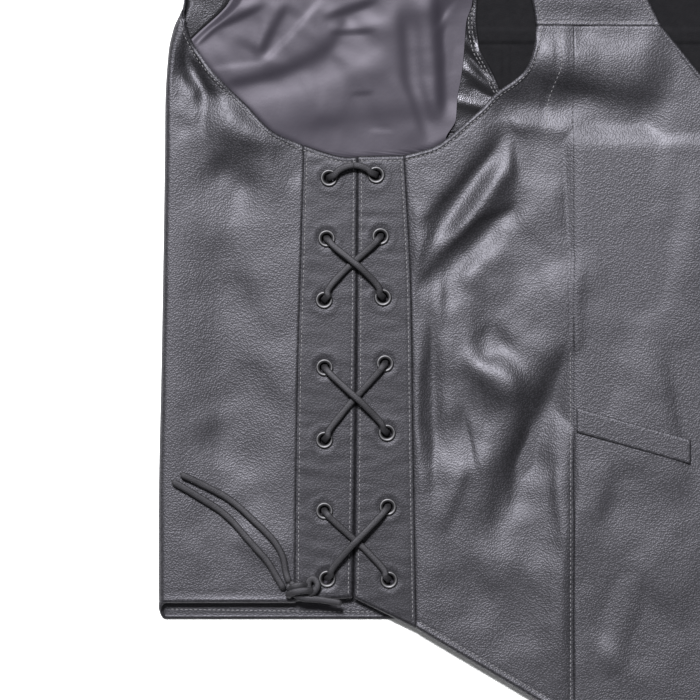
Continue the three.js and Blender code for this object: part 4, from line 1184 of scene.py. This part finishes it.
def left_centre_free(t):
    below = centre_front(t / STRAIGHT)
    above = neck_left_low((t - STRAIGHT) / (1 - STRAIGHT))
    return np.where(t < STRAIGHT, below[0] + 0.8, above[0]), np.where(t < STRAIGHT, below[1], above[1])


def left_centre_fold(t):
    y = np.where(t < STRAIGHT, mix(-293, 127, t / STRAIGHT), mix(127, 173, (t - STRAIGHT) / (1 - STRAIGHT)))
    return right_fold(y), y


def round_fold(free, fold):
    """From a free edge to the right-hand fold (u up to 1) and on round its roll (u up to 2)."""

    def place(u, v):
        (x1, y1), (x2, y2) = free(v), fold(v)
        q = np.where(u <= 1, mix(x1, x2 - ROLL, u), x2 - ROLL + (u - 1) * 2 * ROLL)
        y = np.where(u <= 1, mix(y1, y2, u), y2)
        x, z = wrapped(q, y, 1)
        return x, y, z

    return place


def left_lift(length):
    def lift(u, v, x, y):
        flat = smooth((1 - u) * 8)
        edge = u * length
        soft = 0.8 * waves(x, y, 44, 21.5) + 0.22 * waves(x, y, 14, 15.2)
        return flat * soft - turned(edge, 1.0, 2.0) - stitch_bed(edge, 4.2) - turned(v * 400, 1.0, 2.0)

    return lift


fold_columns = np.concatenate([spread(90, 3, end=False), 1 + np.linspace(0, 1, 13)[1:]])
left_centre = lay("left_centre_front_leather", fold_columns, spread(480, 4), round_fold(left_centre_free, left_centre_fold),
                  left_lift(92), hide_finish)
clothe(left_centre, HIDE_THICK, replaced="left_centre_front")
left_yoke = lay(
    "left_yoke_leather", fold_columns, spread(180, 4),
    round_fold(neck_left, lambda t: (right_fold(mix(173.2, 286, t)), mix(173.2, 286, t))), left_lift(70), hide_finish,
)
clothe(left_yoke, HIDE_THICK, replaced="left_yoke")

left_side_inner = by_height(
    (129, -300), (125.7, -110), (123, -10), (118.3, 86.4), (52.4, 94.2), (31.2, 102.3), (14.6, 119),
    (-2.8, 129), (-7.4, 138.3), (-11.4, 146.3), (-18, 159.7), (-20, 177), (-18, 186), (4, 198), (34, 215),
    (74, 240), (104, 262), (122, 280),
)


def left_side_place(u, v):
    low = left_side_inner(v) + 0.15
    high = right_fold(v) - ROLL - np.where(v < 180, 1, 4)
    x = mix(low, high, u)
    drop = -60 * ((x - 129) / 103) * (1 - smooth((v + 233.3) / 120))
    y = v + np.minimum(0, drop)
    return x, y, lower_z(x, y)


left_side_rows = np.concatenate([np.linspace(-233.3, 84, 90), np.linspace(86, 280, 80)])
left_side = lay("left_side_front_leather", np.linspace(0, 1, 56), left_side_rows, left_side_place,
                lambda u, v, x, y: turned(v + 233.3, 0.3, 2), hide_finish)
clothe(left_side, HIDE_THICK, replaced="left_side_front")


# The black facing inside the left front, which shows deep in the armhole: the yoke's seam crosses it and
# two seams run up it. Its duller finish is painted shade.
def deep_place(u, v):
    low = np.where(v < 200, back_left(v) + 0.2, left_side_inner(v) + 2)
    high = right_fold(v) - ROLL - 7
    x = mix(low, high, u)
    return x, v, lower_z(x, v) - LOWER_LEVEL + LINING_LEVEL


def deep_lift(u, v, x, y):
    seam = y - 162
    ridge = 0.7 * smooth((seam + 1) / 1.5) * (1 - smooth((seam - 8) / 3)) - 0.5 * np.exp(-((seam / 0.9) ** 2))
    upright = -0.6 * np.exp(-(((x + 3) / 0.8) ** 2)) - 0.6 * np.exp(-(((x - 2.4) / 0.8) ** 2))
    return np.maximum(ridge + upright * (y < 163) + 0.2 * waves(x, y, 12, 9.9), -0.35)


# Painted shade: a copy of the facing leather, rougher and with almost no gloss, so that this facing deep in the
# armhole looks shaded.
shaded_facing_finish = facing_finish.copy()
shaded_facing_finish.name = "shaded facing leather"
shaded_facing_shader = shaded_facing_finish.node_tree.nodes["Principled BSDF"]
shaded_facing_shader.inputs["Roughness"].default_value = 0.7
shaded_facing_shader.inputs["Specular IOR Level"].default_value = 0.04
deep = lay("left_front_facing_leather", np.concatenate([np.linspace(0, 0.25, 60), np.linspace(0.26, 1, 30)]),
           np.concatenate([np.linspace(119, 186, 60), np.linspace(188, 260, 24)]), deep_place, deep_lift,
           shaded_facing_finish)
clothe(deep, FACING_THICK, replaced="left_front_facing")

# The left side's two lacing strips, under the body with their outer sides down
left_back_edges = patch(straight(48.6, -222, LEFT_SLIT - 0.3, -214), straight(52, 93, LEFT_SLIT - 0.3, 86),
                        straight(48.6, -222, 52, 93), straight(LEFT_SLIT - 0.3, -214, LEFT_SLIT - 0.3, 86))
left_front_edges = patch(
    straight(LEFT_SLIT + 0.3, -211, 128.8, -233.3), straight(LEFT_SLIT + 0.3, 86, 118, 86),
    straight(LEFT_SLIT + 0.3, -211, LEFT_SLIT + 0.3, 86),
    lambda t: (left_side_inner(mix(-233.3, 86, t)) - 0.2, mix(-233.3, 86, t)),
)


def on_lower(edges):
    def place(u, v):
        x, y = edges(u, v)
        return x, y, lower_z(x, y)

    return place


for name, edges, holes in (
    ("left_back_strip", left_back_edges, left_backs),
    ("left_front_strip", left_front_edges, left_fronts),
):
    strip = lay(f"{name}_leather", spread(38, 3), spread(295, 5), on_lower(edges), None, strip_finish)
    clothe(strip, HIDE_THICK, replaced=name)
    drill(strip, holes, POCKET_MID)


# The eyelets: spun brass blackened to gunmetal, a round flange with a rolled lip and a barrel through the leather
def gunmetal():
    material, shader = node_finish("gunmetal", (0.09, 0.09, 0.095), 0.52)
    shader.inputs["Metallic"].default_value = 1.0
    place = node(material, "ShaderNodeTexCoord").outputs["Object"]
    worn = node(material, "ShaderNodeTexNoise", Vector=place, Scale=700, Detail=3)
    tone = node(material, "ShaderNodeMix", {"data_type": "RGBA"}, _0=worn.outputs["Fac"],
                _6=(0.05, 0.05, 0.053, 1), _7=(0.11, 0.108, 0.115, 1))
    join(material, tone.outputs[2], shader.inputs["Base Color"])
    bump = node(material, "ShaderNodeBump", Strength=0.15, Distance=0.0002, Height=worn.outputs["Fac"])
    join(material, bump.outputs["Normal"], shader.inputs["Normal"])
    return material


eyelet_finish = gunmetal()
# Radius and height above the strip's middle, round the eyelet's section
EYELET_SECTION = [
    (3.3, -1.6), (3.28, -0.4), (3.3, 0.7), (3.45, 1.15), (3.8, 1.55), (4.3, 1.88), (4.8, 2.05), (5.2, 2.0),
    (5.6, 1.7), (5.85, 1.25), (5.8, 0.95), (5.1, 0.92), (3.9, 0.92), (3.85, -0.6), (3.85, -1.6),
]


def spun_eyelet():
    """One eyelet, spun up from a circle ring by ring."""
    bpy.ops.object.select_all(action="DESELECT")
    radius, height = EYELET_SECTION[0]
    bpy.ops.mesh.primitive_circle_add(vertices=40, radius=radius * MM, fill_type="NOTHING", location=(0, 0, height * MM))
    ring = bpy.context.object
    bpy.ops.object.transform_apply(location=True, rotation=True, scale=True)
    bpy.ops.object.mode_set(mode="EDIT")
    bpy.ops.mesh.select_all(action="SELECT")
    for (r0, z0), (r1, z1) in zip(EYELET_SECTION, EYELET_SECTION[1:] + EYELET_SECTION[:1]):
        bpy.ops.mesh.extrude_region_move(TRANSFORM_OT_translate={"value": (0, 0, (z1 - z0) * MM)})
        bpy.ops.transform.resize(value=(r1 / r0, r1 / r0, 1), center_override=(0, 0, z1 * MM))
    bpy.ops.mesh.select_all(action="SELECT")
    bpy.ops.mesh.remove_doubles(threshold=5e-6)
    bpy.ops.mesh.normals_make_consistent(inside=False)
    bpy.ops.object.mode_set(mode="OBJECT")
    bpy.ops.object.shade_smooth_by_angle(angle=math.radians(40))
    ring.data.materials.append(eyelet_finish)
    return ring


def set_eyelet(model, name, place, z, outer, turn):
    """A copy of the eyelet, with its own mesh, set in a strip: outer is 1 face up and -1 face down."""
    piece = model.copy()
    piece.data = model.data.copy()
    piece.name = f"{name}_spun"
    bpy.context.scene.collection.objects.link(piece)
    bpy.ops.object.select_all(action="DESELECT")
    piece.select_set(True)
    bpy.context.view_layer.objects.active = piece
    piece.rotation_euler = (0 if outer > 0 else math.pi, 0, turn)
    piece.location = (place[0] * MM, place[1] * MM, z * MM)
    bpy.ops.object.transform_apply(location=True, rotation=True, scale=True)
    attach(piece, "root")
    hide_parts(name)


eyelet = spun_eyelet()
for i in range(len(EYELETS)):
    set_eyelet(eyelet, f"right_back_eyelet_{i + 1}", backs[i], UPPER_LEVEL, 1, i * 1.1)
    set_eyelet(eyelet, f"right_front_eyelet_{i + 1}", fronts[i], UPPER_LEVEL, 1, i * 1.7)
    set_eyelet(eyelet, f"left_back_eyelet_{i + 1}", left_backs[i], POCKET_MID, -1, 0)
    set_eyelet(eyelet, f"left_front_eyelet_{i + 1}", left_fronts[i], POCKET_MID, -1, 0)
bpy.data.objects.remove(eyelet, do_unlink=True)

# The pocket welts: narrow leather strips sewn on the fronts' centre pieces, just past the long seam
WELT_LIFT = LEATHER / 2 + 0.3 + 0.5 + 0.25
for name, edges, slope in (
    ("right_pocket_welt", straight(45.5, -89.8, 121, -111), 0),
    ("left_pocket_welt", straight(153, -113, 211, -95), 0),
):

    def welt_place(u, v, edges=edges):
        x, y = edges(u)
        y = y + mix(-7.8, 7.8, v)
        return x, y, upper_z(x, y) + WELT_LIFT

    def welt_lift(u, v, x, y):
        return -turned(np.minimum(v, 1 - v) * 15.6, 0.5, 1.4) - turned(np.minimum(u, 1 - u) * 78, 0.5, 1.4)

    welt = lay(f"{name}_leather", spread(78, 2.5), spread(15.6, 1.5), welt_place, welt_lift, hide_finish)
    clothe(welt, 1.0, replaced=name)


# The stitches: waxed black thread, drawn dark grey as painted sheen, 3.1 mm apart and 2.2 mm long, standing a
# little proud of the leather. Each row lies on the piece that it holds.
def thread():
    # Painted sheen: the black thread is coloured dark grey for the light that its wax catches.
    material, shader = node_finish("waxed thread", (0.085, 0.083, 0.09), 0.5)
    place = node(material, "ShaderNodeTexCoord").outputs["Object"]
    twist = node(material, "ShaderNodeTexWave", {"bands_direction": "DIAGONAL"}, Vector=place, Scale=1500)
    bump = node(material, "ShaderNodeBump", Strength=0.4, Distance=0.0001, Height=twist.outputs["Fac"])
    join(material, bump.outputs["Normal"], shader.inputs["Normal"])
    return material


thread_finish = thread()
STITCH = 3.1
STITCH_LONG = 2.2
STITCH_WIDE = 0.8
bpy.ops.object.select_all(action="DESELECT")
bpy.ops.mesh.primitive_uv_sphere_add(segments=6, ring_count=5, radius=0.5)
stitch_model = bpy.context.object
bpy.ops.object.mode_set(mode="EDIT")
bpy.ops.mesh.select_all(action="SELECT")
bpy.ops.transform.rotate(value=math.pi / 2, orient_axis="Y", center_override=(0, 0, 0))
bpy.ops.object.mode_set(mode="OBJECT")
stitch_points = np.array([v.co[:] for v in stitch_model.data.vertices]) * (STITCH_LONG, STITCH_WIDE, 0.5) * MM
stitch_faces = [tuple(face.vertices) for face in stitch_model.data.polygons]
bpy.data.objects.remove(stitch_model, do_unlink=True)


def sew(name, piece, lines):
    """Rows of stitches laid on a piece along plan lines, all joined as one mesh."""
    surface = BVHTree.FromObject(piece, bpy.context.evaluated_depsgraph_get())
    points, faces = [], []
    for line in lines:
        line = np.array(line, float)
        along = np.concatenate([[0], np.cumsum(np.hypot(*np.diff(line, axis=0).T))])
        for far in np.arange(STITCH / 2, along[-1], STITCH):
            x, y = (np.interp(far, along, line[:, k]) for k in (0, 1))
            x2, y2 = (np.interp(far + 0.5, along, line[:, k]) for k in (0, 1))
            x1, y1 = (np.interp(far - 0.5, along, line[:, k]) for k in (0, 1))
            place, normal, _, _ = surface.ray_cast(Vector((x * MM, y * MM, 0.05)), Vector((0, 0, -1)))
            if place is None:
                continue
            ahead = Vector((x2 - x1, y2 - y1, 0)).normalized()
            ahead = (ahead - normal * ahead.dot(normal)).normalized()
            aside = normal.cross(ahead)
            turn = np.array([ahead, aside, normal])
            start = len(points) * len(stitch_points)
            points.append(stitch_points @ turn + np.array(place + normal * 0.00008))
            faces.extend(tuple(start + k for k in face) for face in stitch_faces)
    mesh = bpy.data.meshes.new(name)
    mesh.from_pydata(np.vstack(points).tolist(), [], faces)
    rows = bpy.data.objects.new(name, mesh)
    bpy.context.scene.collection.objects.link(rows)
    mesh.materials.append(thread_finish)
    mesh.shade_smooth()
    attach(rows, "root")


def inset(line, by):
    """A plan line moved to its left by this much."""
    line = np.array(line, float)
    ahead = np.gradient(line, axis=0)
    ahead /= np.linalg.norm(ahead, axis=1, keepdims=True)
    return line + np.stack([-ahead[:, 1], ahead[:, 0]], axis=-1) * by


def sampled(edge, low=0.0, high=1.0, count=60):
    return np.stack(edge(np.linspace(low, high, count)), axis=-1)


heights = np.linspace(-206, 84, 80)
sew("back_stitches", back, [
    inset(ARMHOLE_BACK_LINE, 2.7),
    [(-226, -216.4), (-180, -217.2), (-120, -218), (-70, -218.4), (-40, -218.6)],
])
sew("back_strip_stitches", back_strip, [
    np.stack([back_seam(heights) + 2.1, heights], axis=-1),
    np.stack([slit(heights) - mix(1.6, 0.5, (heights + 207) / 292) / 2 - 2.4, heights], axis=-1),
    inset(curve_through([(-136.3, 93), (-123, 88.4), (-110.3, 85.2), (-101, 85.3)], 10), -2.8),
])
front_heights = np.linspace(-222, 84, 80)
sew("front_strip_stitches", front_strip, [
    np.stack([front_seam(front_heights) - 2.1, front_heights], axis=-1),
    np.stack([slit(heights) + mix(1.6, 0.5, (heights + 207) / 292) / 2 + 2.4, heights], axis=-1),
    [(-99, 82.9), (-70, 83.5)],
])
sew("side_front_stitches", side_front, [
    inset(ARMHOLE_FRONT_LINE, -2.7),
    inset([(-61.7, -227.9), (43.7, -290.4)], 4.2),
    [(41.3, -286), (41.3, -44)],
    inset(DART_LINE[:40], 2.2),
])
sew("centre_front_stitches", centre, [
    inset([(43.7, -290.4), (139, -347)], 4.2),
    [(134.8, -340), (134.8, 126)],
])
sew("yoke_stitches", yoke, [
    [(21, 175.9), (99, 175.4)],
    inset(curve_through(ARMHOLE_SHOULDER, 8), -2.7),
    inset(curve_through(NECK_RIGHT, 8), 2.7),
])
sew("facing_stitches", left_facing, [
    np.stack([back_left(np.linspace(104, 186, 40)) - 3.2, np.linspace(104, 186, 40)], axis=-1),
    np.stack([back_left(np.linspace(104, 186, 40)) - 5.4, np.linspace(104, 186, 40)], axis=-1),
])

# The floor: a plain pale surface, and soft light from a wide panel high beyond the shoulders with a small weak one
# beyond the hem
bpy.ops.object.select_all(action="DESELECT")
bpy.ops.mesh.primitive_plane_add(size=8, location=(0, 0, 0))
floor = bpy.context.object
floor.name = "floor"
floor_finish, floor_shader = node_finish("pale floor", (0.92, 0.92, 0.92), 0.8)
floor_shader.inputs["Specular IOR Level"].default_value = 0.2
floor.data.materials.append(floor_finish)


def panel_light(place, size, watts, target=(-0.1, -0.04, 0)):
    bpy.ops.object.light_add(type="AREA", location=place)
    light = bpy.context.object
    light.data.shape = "RECTANGLE"
    light.data.size, light.data.size_y = size
    light.data.energy = watts
    light.rotation_euler = (Vector(target) - Vector(place)).to_track_quat("-Z", "Y").to_euler()
    return light


panel_light((-1.2, 4.1, 7.0), (1.8, 1.8), 2150)
panel_light((0.3, -1.4, 2.1), (0.8, 0.8), 3)
world = bpy.data.worlds.new("studio") if bpy.context.scene.world is None else bpy.context.scene.world
bpy.context.scene.world = world
world.use_nodes = True
world.node_tree.nodes["Background"].inputs["Color"].default_value = (0.97, 0.98, 1.0, 1)
world.node_tree.nodes["Background"].inputs["Strength"].default_value = 0.2
